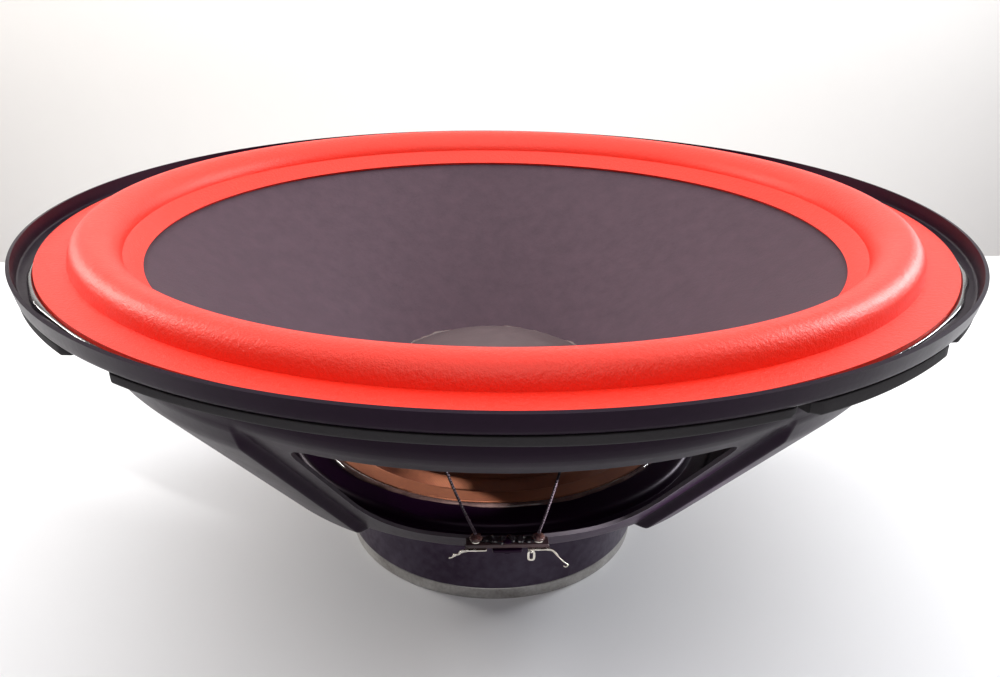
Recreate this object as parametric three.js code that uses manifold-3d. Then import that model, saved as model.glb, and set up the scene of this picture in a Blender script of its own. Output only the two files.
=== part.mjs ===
// A 15 inch car subwoofer driver: pressed steel basket, foam surround, paper cone and ferrite motor.
// Millimetres, +Z up, standing on its magnet. The origin is the centre of the back plate's underside.
// Azimuths are counted from the front (-Y), where the terminals are, towards +X.
import * as THREE from "three";
import { mergeVertices } from "three/addons/utils/BufferGeometryUtils.js";
import Module from "manifold-3d";

// Overall sizes
const FRAME_DIAMETER = 390; // outside of the basket's lip
const FRAME_DEPTH = 160; // underside of the back plate to the top of the lip
const FIT_GAP = 0.3; // glue line or seat between two pieces that touch
const FACETS = 48; // flats round the frame's rings
const SMALL_FACETS = 32; // flats round the motor, the coil, the spider and the dust cap

// Motor
const BACK_PLATE_DIAMETER = 140.4;
const BACK_PLATE_THICKNESS = 6;
const MAGNET_DIAMETER = 142;
const MAGNET_THICKNESS = 24;
const MAGNET_TO_COIL = 9; // air between the magnet's bore and the coil
const TOP_PLATE_DIAMETER = 130;
const TOP_PLATE_THICKNESS = 8;
const POLE_SPIGOT_DIAMETER = 30; // the pole's foot, pressed into the back plate
const PLATE_CHAMFER = 1;

// Voice coil
const COIL_BORE_DIAMETER = 64;
const FORMER_WALL = 0.6;
const WINDING_THICKNESS = 1.5;
const WINDING_HEIGHT = 24;
const MAGNETIC_GAP = 0.5; // running clearance each side of the coil
const FORMER_BELOW_WINDING = 1;

// Basket, pressed from one sheet
const SHEET = 1.4;
const LIP_HEIGHT = 6.5; // top of the lip above the flange's face
const LIP_LEAN = 1.4; // the lip's foot stands this much inside its top
const FLANGE_WIDTH = 21; // lip's foot to the collar
const COLLAR_DEPTH = 20.8; // flange's rear face down to the bend above the windows
const COLLAR_LEAN = 1.2;
const FLOOR_BORE_MARGIN = 6; // floor's hole beyond the coil's clearance hole
const RIM_WIDTH = 9; // pressed channel between the spider's seat and the wall
const RIM_RISE = 15; // underside of the wall's lower rim above the floor's underside
const SEAT_RISE = 18.8; // underside of the spider's seat above the floor's underside
const SEAT_STEP = 1.5; // run of the seat's two sloping steps
const SEAT_MARGIN = 9; // bare seat outside the spider's glue

// Legs and windows
const WINDOW_COUNT = 4;
const WINDOW_TOP_HALF_ANGLE = 25.6; // degrees at the window's upper edge
const WINDOW_SILL_HALF_ANGLE = 25;
const WINDOW_BELOW_BEND = 7; // height from the bend down to the window's upper edge
const SILL_ABOVE_RIM = 11; // height from the rim up to the window's sill
const WINDOW_TOP_CORNER = 9;
const WINDOW_SILL_CORNER = 20;
const RIB_HALF_ANGLE = 15; // the pressed rib on each leg, in degrees each way
const RIB_RISE = 4.9; // the rib stands this much proud of the wall
const RIB_RUN_IN = 10.5; // height over which the rib grows below the bend

// Mounting holes
const HOLE_COUNT = 8;
const HOLE_DIAMETER = 6;
const HOLE_INSET = 6; // hole centre inside the lip's foot

// Rear gasket, laid in strips that start and end at these azimuths
const GASKET_STRIPS = [
  { name: "rear_gasket_front", from: -38, to: 22.3, thickness: 3.2 },
  { name: "rear_gasket_right_corner", from: 23.7, to: 45, thickness: 4.6 },
  { name: "rear_gasket_right", from: 46.5, to: 150, thickness: 3.2 },
  { name: "rear_gasket_back", from: 152, to: 232, thickness: 3.2 },
  { name: "rear_gasket_left", from: 234, to: 315, thickness: 3.2 },
];
const GASKET_INSET = 0.6; // strip's outer edge inside the lip's foot
const GASKET_WIDTH = 11;

// Surround
const FOAM = 1.6;
const CHANNEL_WIDTH = 5.4; // bare flange between the lip's foot and the foam
const SEAT_WIDTH = 12.9; // flat foam glued on the flange
const ROLL_WIDTH = 16.5;
const ROLL_HEIGHT = 8.6;
const ROLL_SKEW = 0.86; // under 1 sets the crest towards the rim
const ROLL_STEPS = 7;
const INNER_FLANGE_WIDTH = 7.5; // foam glued on the cone's edge
const INNER_FLANGE_DROP = 6.5;
const INNER_FLANGE_SINK = 0.4; // roll's inner foot below its outer foot
const BEAD_WIDTH = 1.7;
const BEAD_HEIGHT = 0.9;

// Cone and dust cap
const PAPER = 1.2;
const NECK_ABOVE_SPIDER = 9;
const CAP_DIAMETER = 98;
const CAP_RISE = 13; // crown above its edge
const CAP_STEPS = 5;
const CAP_GLUE_WIDTH = 2.6;
const CAP_GLUE_HEIGHT = 1.2;
const NECK_GLUE_WIDTH = 3.2;

// Spider
const SPIDER_DIAMETER = 167;
const CLOTH = 0.8;
const SPIDER_SEAT_WIDTH = 6;
const SPIDER_ROLLS = 5;
const SPIDER_ROLL_HEIGHT = 2.4; // each way from the cloth's own level
const SPIDER_COLLAR = 3.2;
const SPIDER_GLUE_WIDTH = 3;
const SPIDER_GLUE_HEIGHT = 1.3;

// Terminals, on a tab bent out of the front window's sill
const TAB_WIDTH = 11;
const TAB_REACH = 6.5;
const TAB_RIVET_SHARE = 0.6; // tab's rivet, as a share of the way out along the tab
const BOARD_WIDTH = 30;
const BOARD_DEPTH = 4.8;
const BOARD_THICKNESS = 1.6;
const BOARD_STAND_OFF = 1; // board's inner edge clear of the wall, and each lug's clear of the board's
const LUG_THICKNESS = 0.6;
const LUG_WIDTH = 8;
const LUG_PLACE = 11.4; // lug centre each side of the board's middle
const LUG_OVERHANG = 0.5;
const EYE_WIDTH = 3;
const EYE_LENGTH = 4.2;
const EYE_PLACE = 3; // eye nearer the middle than its lug's centre
const EYE_HOLE_WIDTH = 1.2;
const EYE_HOLE_LENGTH = 1.9;
const TAIL_WIDTH = 1.2;
const LEFT_TAIL_LENGTH = 7.5;
const RIGHT_TAIL_LENGTH = 9.5;
const LEFT_TAIL_DROP = 28; // degrees below level
const RIGHT_TAIL_DROP = 48;
const TAIL_SWEEP = 12; // degrees out from the board's line
const RIVET_SHANK = 2;
const RIVET_HEAD = 4;
const RIVET_HEAD_HEIGHT = 0.7;
const SOLDER_DIAMETER = 4;
const SOLDER_HEIGHT = 1.3;
const TERMINAL_FACETS = 12; // flats round the terminals' rivets, holes and joints
const LEAD_DIAMETER = 1.4;
const LEAD_SAG = 7;
const LEAD_STEPS = 18;
const ANCHOR_RADIUS = 76; // where the leads meet the cone, from its axis
const ANCHOR_AZIMUTH = 23;
const ANCHOR_DIAMETER = 6;
const ANCHOR_HEIGHT = 1.4;

// Fixings between the basket's floor and the top plate
const FLOOR_RIVET_COUNT = 6;
const FLOOR_RIVET_SHANK = 4;
const FLOOR_RIVET_HEAD = 8;
const FLOOR_RIVET_HEAD_HEIGHT = 1.6;
const FLOOR_RIVET_HEAD_SLOPE = 1; // the head's top is this much smaller each side
const FLOOR_RIVET_FACETS = 12;

const wasm = await Module();
wasm.setup();

const radians = (degrees) => (degrees * Math.PI) / 180;

// ---- Solids ----

// A closed geometry as a solid that can be joined and cut.
function solidOf(geometry) {
  const bare = geometry.index ? geometry.toNonIndexed() : geometry.clone();
  bare.deleteAttribute("normal");
  bare.deleteAttribute("uv");
  const merged = mergeVertices(bare, 1e-4);
  return new wasm.Manifold(
    new wasm.Mesh({
      numProp: 3,
      vertProperties: merged.attributes.position.array,
      triVerts: new Uint32Array(merged.index.array),
    }),
  );
}

// The geometry of a solid that has been joined or cut.
function geometryOf(solid) {
  const mesh = solid.getMesh();
  const geometry = new THREE.BufferGeometry();
  geometry.setAttribute("position", new THREE.BufferAttribute(mesh.vertProperties, 3));
  geometry.setIndex(new THREE.BufferAttribute(mesh.triVerts, 1));
  geometry.computeVertexNormals();
  return geometry;
}

// Twice the area of an outline, positive when it runs anticlockwise.
function doubledArea(outline) {
  return outline.reduce((sum, [r, z], i) => {
    const [nextR, nextZ] = outline[(i + 1) % outline.length];
    return sum + r * nextZ - nextR * z;
  }, 0);
}

// A solid of revolution about Z from [radius, height] points. An outline off the axis is closed here.
function turned(outline, facets = FACETS) {
  const ordered = doubledArea(outline) < 0 ? [...outline].reverse() : outline;
  const closed = ordered[0][0] === 0 ? ordered : [...ordered, ordered[0]];
  const points = closed.map(([r, z]) => new THREE.Vector2(r, z));
  return new THREE.LatheGeometry(points, facets).rotateX(Math.PI / 2);
}

const turnedSmall = (outline) => turned(outline, SMALL_FACETS);

// The outline of a flat ring or a tube.
function band(innerRadius, outerRadius, bottom, top) {
  return [
    [innerRadius, bottom],
    [outerRadius, bottom],
    [outerRadius, top],
    [innerRadius, top],
  ];
}

// A line of points moved sideways to its left by a thickness, with mitred corners.
function moved(line, thickness) {
  const heading = ([r0, z0], [r1, z1]) => {
    const length = Math.hypot(r1 - r0, z1 - z0);
    return [(r1 - r0) / length, (z1 - z0) / length];
  };
  return line.map((point, i) => {
    const before = heading(line[Math.max(i - 1, 0)], line[Math.max(i, 1)]);
    const last = line.length - 1;
    const after = heading(line[Math.min(i, last - 1)], line[Math.min(i + 1, last)]);
    const mitre = thickness / (1 + before[0] * after[0] + before[1] * after[1]);
    return [point[0] - (before[1] + after[1]) * mitre, point[1] + (before[0] + after[0]) * mitre];
  });
}

// The outline of a sheet whose lower face is a line that runs outwards.
function sheetOn(line, thickness) {
  return [...line, ...moved(line, thickness).reverse()];
}

// A ring sector standing on a height, between two azimuths.
function sector(from, to, innerRadius, outerRadius, bottom, top) {
  const start = radians(from - 90);
  const end = radians(to - 90);
  const shape = new THREE.Shape();
  shape.absarc(0, 0, outerRadius, start, end, false);
  shape.absarc(0, 0, innerRadius, end, start, true);
  const options = { depth: top - bottom, bevelEnabled: false, curveSegments: 6 };
  return new THREE.ExtrudeGeometry(shape, options).translate(0, 0, bottom);
}

// An upright round bar, or the cutter for a round hole.
function bar(diameter, bottom, top, facets = 16) {
  const cylinder = new THREE.CylinderGeometry(diameter / 2, diameter / 2, top - bottom, facets);
  return cylinder.rotateX(Math.PI / 2).translate(0, 0, (top + bottom) / 2);
}

// A block by its size and the centre of its underside.
function block(width, depth, height, x, y, bottom) {
  return new THREE.BoxGeometry(width, depth, height).translate(x, y, bottom + height / 2);
}

// ---- Heights and radii shared between pieces ----

const magnetBottom = BACK_PLATE_THICKNESS + FIT_GAP;
const magnetTop = magnetBottom + MAGNET_THICKNESS;
const topPlateBottom = magnetTop + FIT_GAP;
const topPlateTop = topPlateBottom + TOP_PLATE_THICKNESS;
const floorBottom = topPlateTop + FIT_GAP;
const floorTop = floorBottom + SHEET;

const formerInner = COIL_BORE_DIAMETER / 2;
const formerOuter = formerInner + FORMER_WALL;
const windingInner = formerOuter + FIT_GAP;
const windingOuter = windingInner + WINDING_THICKNESS;
const gapInner = formerInner - MAGNETIC_GAP;
const gapOuter = windingOuter + MAGNETIC_GAP;
const windingMiddle = (topPlateBottom + topPlateTop) / 2;
const windingBottom = windingMiddle - WINDING_HEIGHT / 2;
const windingTop = windingMiddle + WINDING_HEIGHT / 2;
const collarInner = formerOuter + FIT_GAP;

const spiderRadius = SPIDER_DIAMETER / 2;
const seatInner = spiderRadius - SPIDER_SEAT_WIDTH;
const seatStart = seatInner + SHEET + 2 * FIT_GAP;
const seatOuter = spiderRadius + SPIDER_GLUE_WIDTH + SEAT_MARGIN;
const rimRadius = seatOuter + SEAT_STEP + RIM_WIDTH;
const rimBottom = floorBottom + RIM_RISE;
const seatBottom = floorBottom + SEAT_RISE;
const seatTop = seatBottom + SHEET;
const spiderBottom = seatTop + FIT_GAP;

const frameRadius = FRAME_DIAMETER / 2;
const lipFootRadius = frameRadius - LIP_LEAN;
const flangeTop = FRAME_DEPTH - LIP_HEIGHT;
const flangeBottom = flangeTop - SHEET;
const collarRadius = lipFootRadius - FLANGE_WIDTH;
const bendRadius = collarRadius - COLLAR_LEAN;
const bendHeight = flangeBottom - COLLAR_DEPTH;
const wallSlope = (bendRadius - rimRadius) / (bendHeight - rimBottom);
const wallRadius = (height) => rimRadius + (height - rimBottom) * wallSlope;

const foamBottom = flangeTop + FIT_GAP;
const foamTop = foamBottom + FOAM;
const lipInnerRadius = lipFootRadius - SHEET;
const foamOuter = lipInnerRadius - CHANNEL_WIDTH;
const rollOuter = foamOuter - SEAT_WIDTH;
const rollInner = rollOuter - ROLL_WIDTH;
const foamInner = rollInner - INNER_FLANGE_WIDTH;
const rollInnerHeight = foamBottom - INNER_FLANGE_SINK;
const foamInnerHeight = rollInnerHeight - INNER_FLANGE_DROP;

const neckRadius = collarInner + FIT_GAP;
const neckHeight = spiderBottom + CLOTH + NECK_ABOVE_SPIDER;
const seatSlope = INNER_FLANGE_DROP / INNER_FLANGE_WIDTH;
const coneGlueDrop = FIT_GAP * Math.hypot(1, seatSlope);
const coneKnee = { radius: foamInner, top: foamInnerHeight - coneGlueDrop };
const coneSlope = (coneKnee.top - neckHeight) / (coneKnee.radius - neckRadius);
const coneWallDrop = PAPER * Math.hypot(1, coneSlope);
const coneTopAt = (radius) => neckHeight + (radius - neckRadius) * coneSlope;

// ---- Motor ----

const backPlateBore = POLE_SPIGOT_DIAMETER / 2 + FIT_GAP;
const backPlateRadius = BACK_PLATE_DIAMETER / 2;
const backPlate = turnedSmall([
  [backPlateBore, 0],
  [backPlateRadius - PLATE_CHAMFER, 0],
  [backPlateRadius, PLATE_CHAMFER],
  [backPlateRadius, BACK_PLATE_THICKNESS],
  [backPlateBore, BACK_PLATE_THICKNESS],
]);

const polePiece = turnedSmall([
  [0, 0],
  [POLE_SPIGOT_DIAMETER / 2, 0],
  [POLE_SPIGOT_DIAMETER / 2, magnetBottom],
  [gapInner, magnetBottom],
  [gapInner, topPlateTop],
  [0, topPlateTop],
]);

const magnetRadius = MAGNET_DIAMETER / 2;
const magnet = turnedSmall([
  [gapOuter + MAGNET_TO_COIL, magnetBottom],
  [magnetRadius, magnetBottom],
  [magnetRadius, magnetTop - PLATE_CHAMFER],
  [magnetRadius - PLATE_CHAMFER, magnetTop],
  [gapOuter + MAGNET_TO_COIL, magnetTop],
]);

// Rivets on one circle fix the basket's floor to the top plate, halfway across the plate's face.
const topPlateRadius = TOP_PLATE_DIAMETER / 2;
const rivetCircle = (gapOuter + FLOOR_BORE_MARGIN + topPlateRadius) / 2;
const rivetPlaces = Array.from({ length: FLOOR_RIVET_COUNT }, (_, i) => {
  const angle = (i * 2 * Math.PI) / FLOOR_RIVET_COUNT;
  return [rivetCircle * Math.cos(angle), rivetCircle * Math.sin(angle)];
});
const rivetHole = bar(
  FLOOR_RIVET_SHANK + 2 * FIT_GAP,
  topPlateBottom - SHEET,
  floorTop + SHEET,
  FLOOR_RIVET_FACETS,
);
function drilledForRivets(solid) {
  return rivetPlaces.reduce((left, [x, y]) => {
    return left.subtract(solidOf(rivetHole.clone().translate(x, y, 0)));
  }, solid);
}
const topPlateRing = turnedSmall(band(gapOuter, topPlateRadius, topPlateBottom, topPlateTop));
const topPlate = geometryOf(drilledForRivets(solidOf(topPlateRing)));

const headBottom = floorTop + FIT_GAP;
const floorRivet = turned(
  [
    [0, topPlateBottom + FIT_GAP],
    [FLOOR_RIVET_SHANK / 2, topPlateBottom + FIT_GAP],
    [FLOOR_RIVET_SHANK / 2, headBottom],
    [FLOOR_RIVET_HEAD / 2, headBottom],
    [FLOOR_RIVET_HEAD / 2 - FLOOR_RIVET_HEAD_SLOPE, headBottom + FLOOR_RIVET_HEAD_HEIGHT],
    [0, headBottom + FLOOR_RIVET_HEAD_HEIGHT],
  ],
  FLOOR_RIVET_FACETS,
);

// ---- Basket ----

// The lower face of the pressed sheet, from the middle of the floor out to the lip's top. The wall
// stands proud by a rise that grows below the bend: 0 for the plain wall, RIB_RISE for a leg's rib.
function basketLine(rise) {
  const ribTop = bendHeight - RIB_RUN_IN;
  const wall = rise > 0 ? [[wallRadius(ribTop) + rise, ribTop]] : [];
  return [
    [0, floorBottom],
    [seatStart - SEAT_STEP, floorBottom],
    [seatStart, seatBottom],
    [seatOuter, seatBottom],
    [seatOuter + SEAT_STEP, rimBottom],
    [rimRadius + rise, rimBottom],
    ...wall,
    [bendRadius, bendHeight],
    [collarRadius, flangeBottom],
    [lipFootRadius, flangeBottom],
    [frameRadius, FRAME_DEPTH - SHEET / 2],
  ];
}

// Everything above a line, up to a level.
function filled(line, topLevel) {
  const [endRadius] = line[line.length - 1];
  return solidOf(turned([...line, [endRadius, topLevel], [0, topLevel]]));
}

const plainLine = basketLine(0);
const ribLine = basketLine(RIB_RISE);
const outside = (line) => filled(line, FRAME_DEPTH);
const inside = (line) => filled(moved(line, SHEET), FRAME_DEPTH + LIP_HEIGHT);

const meanWallRadius = (rimRadius + bendRadius) / 2;
const ribWallAngle = (SHEET / meanWallRadius) * (180 / Math.PI);
const legAzimuths = Array.from({ length: WINDOW_COUNT }, (_, i) => {
  return ((i + 0.5) * 360) / WINDOW_COUNT;
});
// The part of a solid that lies in the ribs' sectors.
function inRibs(solid, halfAngle) {
  const sectors = legAzimuths.map((azimuth) => {
    const [from, to] = [azimuth - halfAngle, azimuth + halfAngle];
    return solidOf(sector(from, to, seatOuter, 2 * frameRadius, floorBottom, bendHeight + SHEET));
  });
  return sectors.map((piece) => solid.intersect(piece)).reduce((all, piece) => all.add(piece));
}
const pressing = outside(plainLine)
  .add(inRibs(outside(ribLine), RIB_HALF_ANGLE))
  .subtract(inside(plainLine).add(inRibs(inside(ribLine), RIB_HALF_ANGLE - ribWallAngle)));

const windowTop = bendHeight - WINDOW_BELOW_BEND;
const windowSill = rimBottom + SILL_ABOVE_RIM;
const windowTopHalf = wallRadius(windowTop) * Math.sin(radians(WINDOW_TOP_HALF_ANGLE));
const windowSillHalf = wallRadius(windowSill) * Math.sin(radians(WINDOW_SILL_HALF_ANGLE));

// A trapezoid in the XZ plane with rounded corners, run out from the axis towards the front.
function windowCutter() {
  const corners = [
    [windowSillHalf, windowSill],
    [windowTopHalf, windowTop],
    [-windowTopHalf, windowTop],
    [-windowSillHalf, windowSill],
  ].map(([x, z]) => new THREE.Vector2(x, z));
  const shape = new THREE.Shape();
  corners.forEach((corner, i) => {
    const before = corners[(i + 3) % 4];
    const after = corners[(i + 1) % 4];
    const cut = corner.y === windowTop ? WINDOW_TOP_CORNER : WINDOW_SILL_CORNER;
    const entry = corner.clone().add(before.clone().sub(corner).setLength(cut));
    const exit = corner.clone().add(after.clone().sub(corner).setLength(cut));
    if (i === 0) shape.moveTo(entry.x, entry.y);
    else shape.lineTo(entry.x, entry.y);
    shape.quadraticCurveTo(corner.x, corner.y, exit.x, exit.y);
  });
  shape.closePath();
  const options = { depth: frameRadius, bevelEnabled: false, curveSegments: 3 };
  const clearOfAxis = rimRadius / 2;
  return new THREE.ExtrudeGeometry(shape, options)
    .rotateX(Math.PI / 2)
    .translate(0, -clearOfAxis, 0);
}
const windowSolids = Array.from({ length: WINDOW_COUNT }, (_, i) => {
  return solidOf(windowCutter().rotateZ((i * 2 * Math.PI) / WINDOW_COUNT));
});

const holeCircle = lipInnerRadius - HOLE_INSET;
const holeCutters = Array.from({ length: HOLE_COUNT }, (_, i) => {
  const angle = ((i + 0.5) * 2 * Math.PI) / HOLE_COUNT;
  const cutter = bar(HOLE_DIAMETER, bendHeight, FRAME_DEPTH);
  return solidOf(cutter.translate(holeCircle * Math.cos(angle), holeCircle * Math.sin(angle), 0));
});
const drilledForScrews = (solid) => {
  return holeCutters.reduce((left, cutter) => left.subtract(cutter), solid);
};

// The terminal tab leaves the wall level with the sill.
const sillRadius = wallRadius(windowSill);
const tabEnd = sillRadius + TAB_REACH;
const tabStart = sillRadius - SHEET;
const terminalTab = solidOf(
  block(TAB_WIDTH, tabEnd - tabStart, SHEET, 0, -(tabEnd + tabStart) / 2, windowSill - SHEET),
);
const tabRivetRadius = sillRadius + TAB_REACH * TAB_RIVET_SHARE;
const boardHoleDiameter = RIVET_SHANK + 2 * FIT_GAP;
const terminalBar = (diameter, bottom, top) => bar(diameter, bottom, top, TERMINAL_FACETS);
const tabHole = terminalBar(boardHoleDiameter, windowSill - 2 * SHEET, windowSill + SHEET);
const tabHoleSolid = solidOf(tabHole.translate(0, -tabRivetRadius, 0));

const floorBore = gapOuter + FLOOR_BORE_MARGIN;
const boreCutter = bar(2 * floorBore, floorBottom - SHEET, floorTop + SHEET, FACETS);
const openFrame = [solidOf(boreCutter), ...windowSolids].reduce((left, cutter) => {
  return left.subtract(cutter);
}, pressing);
const basket = geometryOf(
  drilledForRivets(drilledForScrews(openFrame)).add(terminalTab).subtract(tabHoleSolid),
);

// ---- Rear gasket ----

const gasketOuter = lipFootRadius - GASKET_INSET;
const gasketInner = gasketOuter - GASKET_WIDTH;
const gasketTop = flangeBottom - FIT_GAP;
function gasketStrip({ from, to, thickness }) {
  const bottom = gasketTop - thickness;
  const ring = turned([
    [gasketInner, gasketTop],
    [gasketInner, bottom + thickness / 3],
    [gasketInner + thickness / 3, bottom],
    [gasketOuter - thickness / 3, bottom],
    [gasketOuter, bottom + thickness / 3],
    [gasketOuter, gasketTop],
  ]);
  const reach = sector(from, to, rimRadius, 2 * frameRadius, bendHeight, FRAME_DEPTH);
  return geometryOf(drilledForScrews(solidOf(ring).intersect(solidOf(reach))));
}

// ---- Surround ----

// The lower face from the inner edge, over the half roll, to the outer edge. The roll's height is
// the sine of the way across, and the way across is bent by ROLL_SKEW to move the crest outwards.
const rollLine = Array.from({ length: ROLL_STEPS }, (_, i) => {
  const across = (i + 1) / (ROLL_STEPS + 1);
  const bent = 1 - Math.pow(1 - across, ROLL_SKEW);
  const radius = rollInner + ROLL_WIDTH * (0.5 - 0.5 * Math.cos(Math.PI * across));
  const base = rollInnerHeight + (foamBottom - rollInnerHeight) * across;
  return [radius, base + ROLL_HEIGHT * Math.sin(Math.PI * bent)];
});
const surroundLine = [
  [foamInner, foamInnerHeight],
  [rollInner, rollInnerHeight],
  ...rollLine,
  [rollOuter, foamBottom],
  [foamOuter, foamBottom],
];
const surround = turned(sheetOn(surroundLine, FOAM));

const beadInner = foamOuter + FIT_GAP;
const surroundBead = turned([
  [beadInner, foamBottom],
  [beadInner + BEAD_WIDTH, foamBottom],
  [beadInner + BEAD_WIDTH / 2, foamBottom + BEAD_HEIGHT],
  [beadInner, foamBottom + BEAD_HEIGHT],
]);

// ---- Cone, dust cap and voice coil ----

const coneTopLine = [
  [neckRadius, neckHeight],
  [coneKnee.radius, coneKnee.top],
  [rollInner - FIT_GAP, coneKnee.top + (rollInner - FIT_GAP - coneKnee.radius) * seatSlope],
];
const cone = turned([...coneTopLine, ...moved(coneTopLine, -PAPER).reverse()]);

const capRadius = CAP_DIAMETER / 2;
const capSeat = coneTopAt(capRadius) + FIT_GAP * Math.hypot(1, coneSlope);
const capSphere = (capRadius * capRadius + CAP_RISE * CAP_RISE) / (2 * CAP_RISE);
const capCentre = capSeat + CAP_RISE - capSphere;
const capHalfAngle = Math.asin(capRadius / capSphere);
const capArc = (radius, start) => {
  return Array.from({ length: CAP_STEPS + 1 }, (_, i) => {
    const angle = start * (1 - i / CAP_STEPS);
    return [i === CAP_STEPS ? 0 : radius * Math.sin(angle), capCentre + radius * Math.cos(angle)];
  });
};
const dustCap = turnedSmall([
  ...capArc(capSphere + PAPER, capHalfAngle),
  ...capArc(capSphere, capHalfAngle).reverse(),
]);

const capGlueInner = (capSphere + PAPER) * Math.sin(capHalfAngle) + FIT_GAP;
const capGlueOuter = capGlueInner + CAP_GLUE_WIDTH;
const glueSeat = (radius) => coneTopAt(radius) + FIT_GAP * Math.hypot(1, coneSlope);
const capGlue = turnedSmall([
  [capGlueInner, glueSeat(capGlueInner)],
  [capGlueOuter, glueSeat(capGlueOuter)],
  [capGlueInner + CAP_GLUE_WIDTH / 3, glueSeat(capGlueInner) + CAP_GLUE_HEIGHT],
  [capGlueInner, glueSeat(capGlueInner) + CAP_GLUE_HEIGHT],
]);

const formerTop = neckHeight + NECK_GLUE_WIDTH + FIT_GAP;
const former = turnedSmall(
  band(formerInner, formerOuter, windingBottom - FORMER_BELOW_WINDING, formerTop),
);
const winding = turnedSmall(band(windingInner, windingOuter, windingBottom, windingTop));
const neckGlueOuter = neckRadius + NECK_GLUE_WIDTH;
const neckGlue = turnedSmall([
  [collarInner, glueSeat(neckRadius)],
  [neckRadius, glueSeat(neckRadius)],
  [neckGlueOuter, glueSeat(neckGlueOuter)],
  [collarInner, glueSeat(neckRadius) + NECK_GLUE_WIDTH],
]);

// ---- Spider ----

// A flat seat, rolls by their crests and troughs, and a collar that stands up round the former.
const rollStart = collarInner + 2 * CLOTH;
const rollRun = seatInner - rollStart;
const spiderWave = Array.from({ length: SPIDER_ROLLS * 2 }, (_, i) => {
  const across = (i + 0.5) / (SPIDER_ROLLS * 2);
  const side = i % 2 === 0 ? 1 : -1;
  return [rollStart + rollRun * across, spiderBottom + side * SPIDER_ROLL_HEIGHT];
});
const spiderLine = [
  [collarInner + CLOTH, spiderBottom + SPIDER_COLLAR],
  [collarInner + CLOTH, spiderBottom],
  ...spiderWave,
  [seatInner, spiderBottom],
  [spiderRadius, spiderBottom],
];
const spider = turnedSmall(sheetOn(spiderLine, CLOTH));

const spiderTop = spiderBottom + CLOTH;
const spiderGlueInner = spiderRadius + FIT_GAP;
const spiderGlue = turnedSmall([
  [spiderGlueInner, spiderBottom],
  [spiderGlueInner + SPIDER_GLUE_WIDTH, spiderBottom],
  [spiderGlueInner + SPIDER_GLUE_WIDTH / 2, spiderBottom + SPIDER_GLUE_HEIGHT],
  [spiderGlueInner, spiderBottom + SPIDER_GLUE_HEIGHT],
]);
const collarTop = spiderBottom + SPIDER_COLLAR + FIT_GAP;
const spiderNeckGlue = turnedSmall([
  [collarInner, collarTop],
  [collarInner + 2 * CLOTH, collarTop],
  [collarInner, collarTop + 2 * CLOTH],
]);

// ---- Terminals and tinsel leads ----

const boardBottom = windowSill + FIT_GAP;
const boardTop = boardBottom + BOARD_THICKNESS;
const boardInner = sillRadius + BOARD_STAND_OFF;
const boardOuter = boardInner + BOARD_DEPTH;
const lugRivetRadius = boardInner + BOARD_DEPTH / 2;
const lugTop = boardBottom - FIT_GAP;
const lugBottom = lugTop - LUG_THICKNESS;
const pierced = (solid, x, radius, bottom, top) => {
  const cutter = terminalBar(boardHoleDiameter, bottom - SHEET, top + SHEET).translate(x, -radius, 0);
  return solid.subtract(solidOf(cutter));
};

const boardMiddle = -(boardInner + boardOuter) / 2;
const boardBlank = solidOf(
  block(BOARD_WIDTH, BOARD_DEPTH, BOARD_THICKNESS, 0, boardMiddle, boardBottom),
);
const boardPlaces = [
  [-LUG_PLACE, lugRivetRadius],
  [0, tabRivetRadius],
  [LUG_PLACE, lugRivetRadius],
];
const terminalBoard = geometryOf(
  boardPlaces.reduce((left, [x, radius]) => {
    return pierced(left, x, radius, boardBottom, boardTop);
  }, boardBlank),
);

// A lug under the board: a plate that sticks out past the edge, and a thin tail bent down from it.
const lugInner = boardInner + BOARD_STAND_OFF;
const lugOuter = boardOuter + LUG_OVERHANG;
const lugDepth = lugOuter - lugInner;
function lugPlate(side) {
  const middle = -(lugInner + lugOuter) / 2;
  const plate = block(LUG_WIDTH, lugDepth, LUG_THICKNESS, side * LUG_PLACE, middle, lugBottom);
  return pierced(solidOf(plate), side * LUG_PLACE, lugRivetRadius, lugBottom, lugTop);
}
function tail(side, length, drop) {
  const strip = block(length, TAIL_WIDTH, LUG_THICKNESS, (side * length) / 2, 0, 0);
  const start = side * (LUG_PLACE + LUG_WIDTH / 2 - TAIL_WIDTH);
  strip.rotateY(side * radians(drop)).rotateZ(-side * radians(TAIL_SWEEP));
  return solidOf(strip.translate(start, -lugOuter + TAIL_WIDTH, lugBottom));
}
const eyeX = LUG_PLACE - EYE_PLACE;
const eyePlate = block(EYE_WIDTH, LUG_THICKNESS, EYE_LENGTH, eyeX, 0, 0);
const eyeHole = new THREE.BoxGeometry(EYE_HOLE_WIDTH, 4 * LUG_THICKNESS, EYE_HOLE_LENGTH);
const eye = solidOf(eyePlate)
  .subtract(solidOf(eyeHole.translate(eyeX, 0, EYE_HOLE_LENGTH)))
  .translate([0, -lugOuter + LUG_THICKNESS / 2, lugTop - EYE_LENGTH]);
const lugLeft = geometryOf(lugPlate(-1).add(tail(-1, LEFT_TAIL_LENGTH, LEFT_TAIL_DROP)));
const rightTail = tail(1, RIGHT_TAIL_LENGTH, RIGHT_TAIL_DROP);
const lugRight = geometryOf(lugPlate(1).add(rightTail).add(eye));

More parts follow.
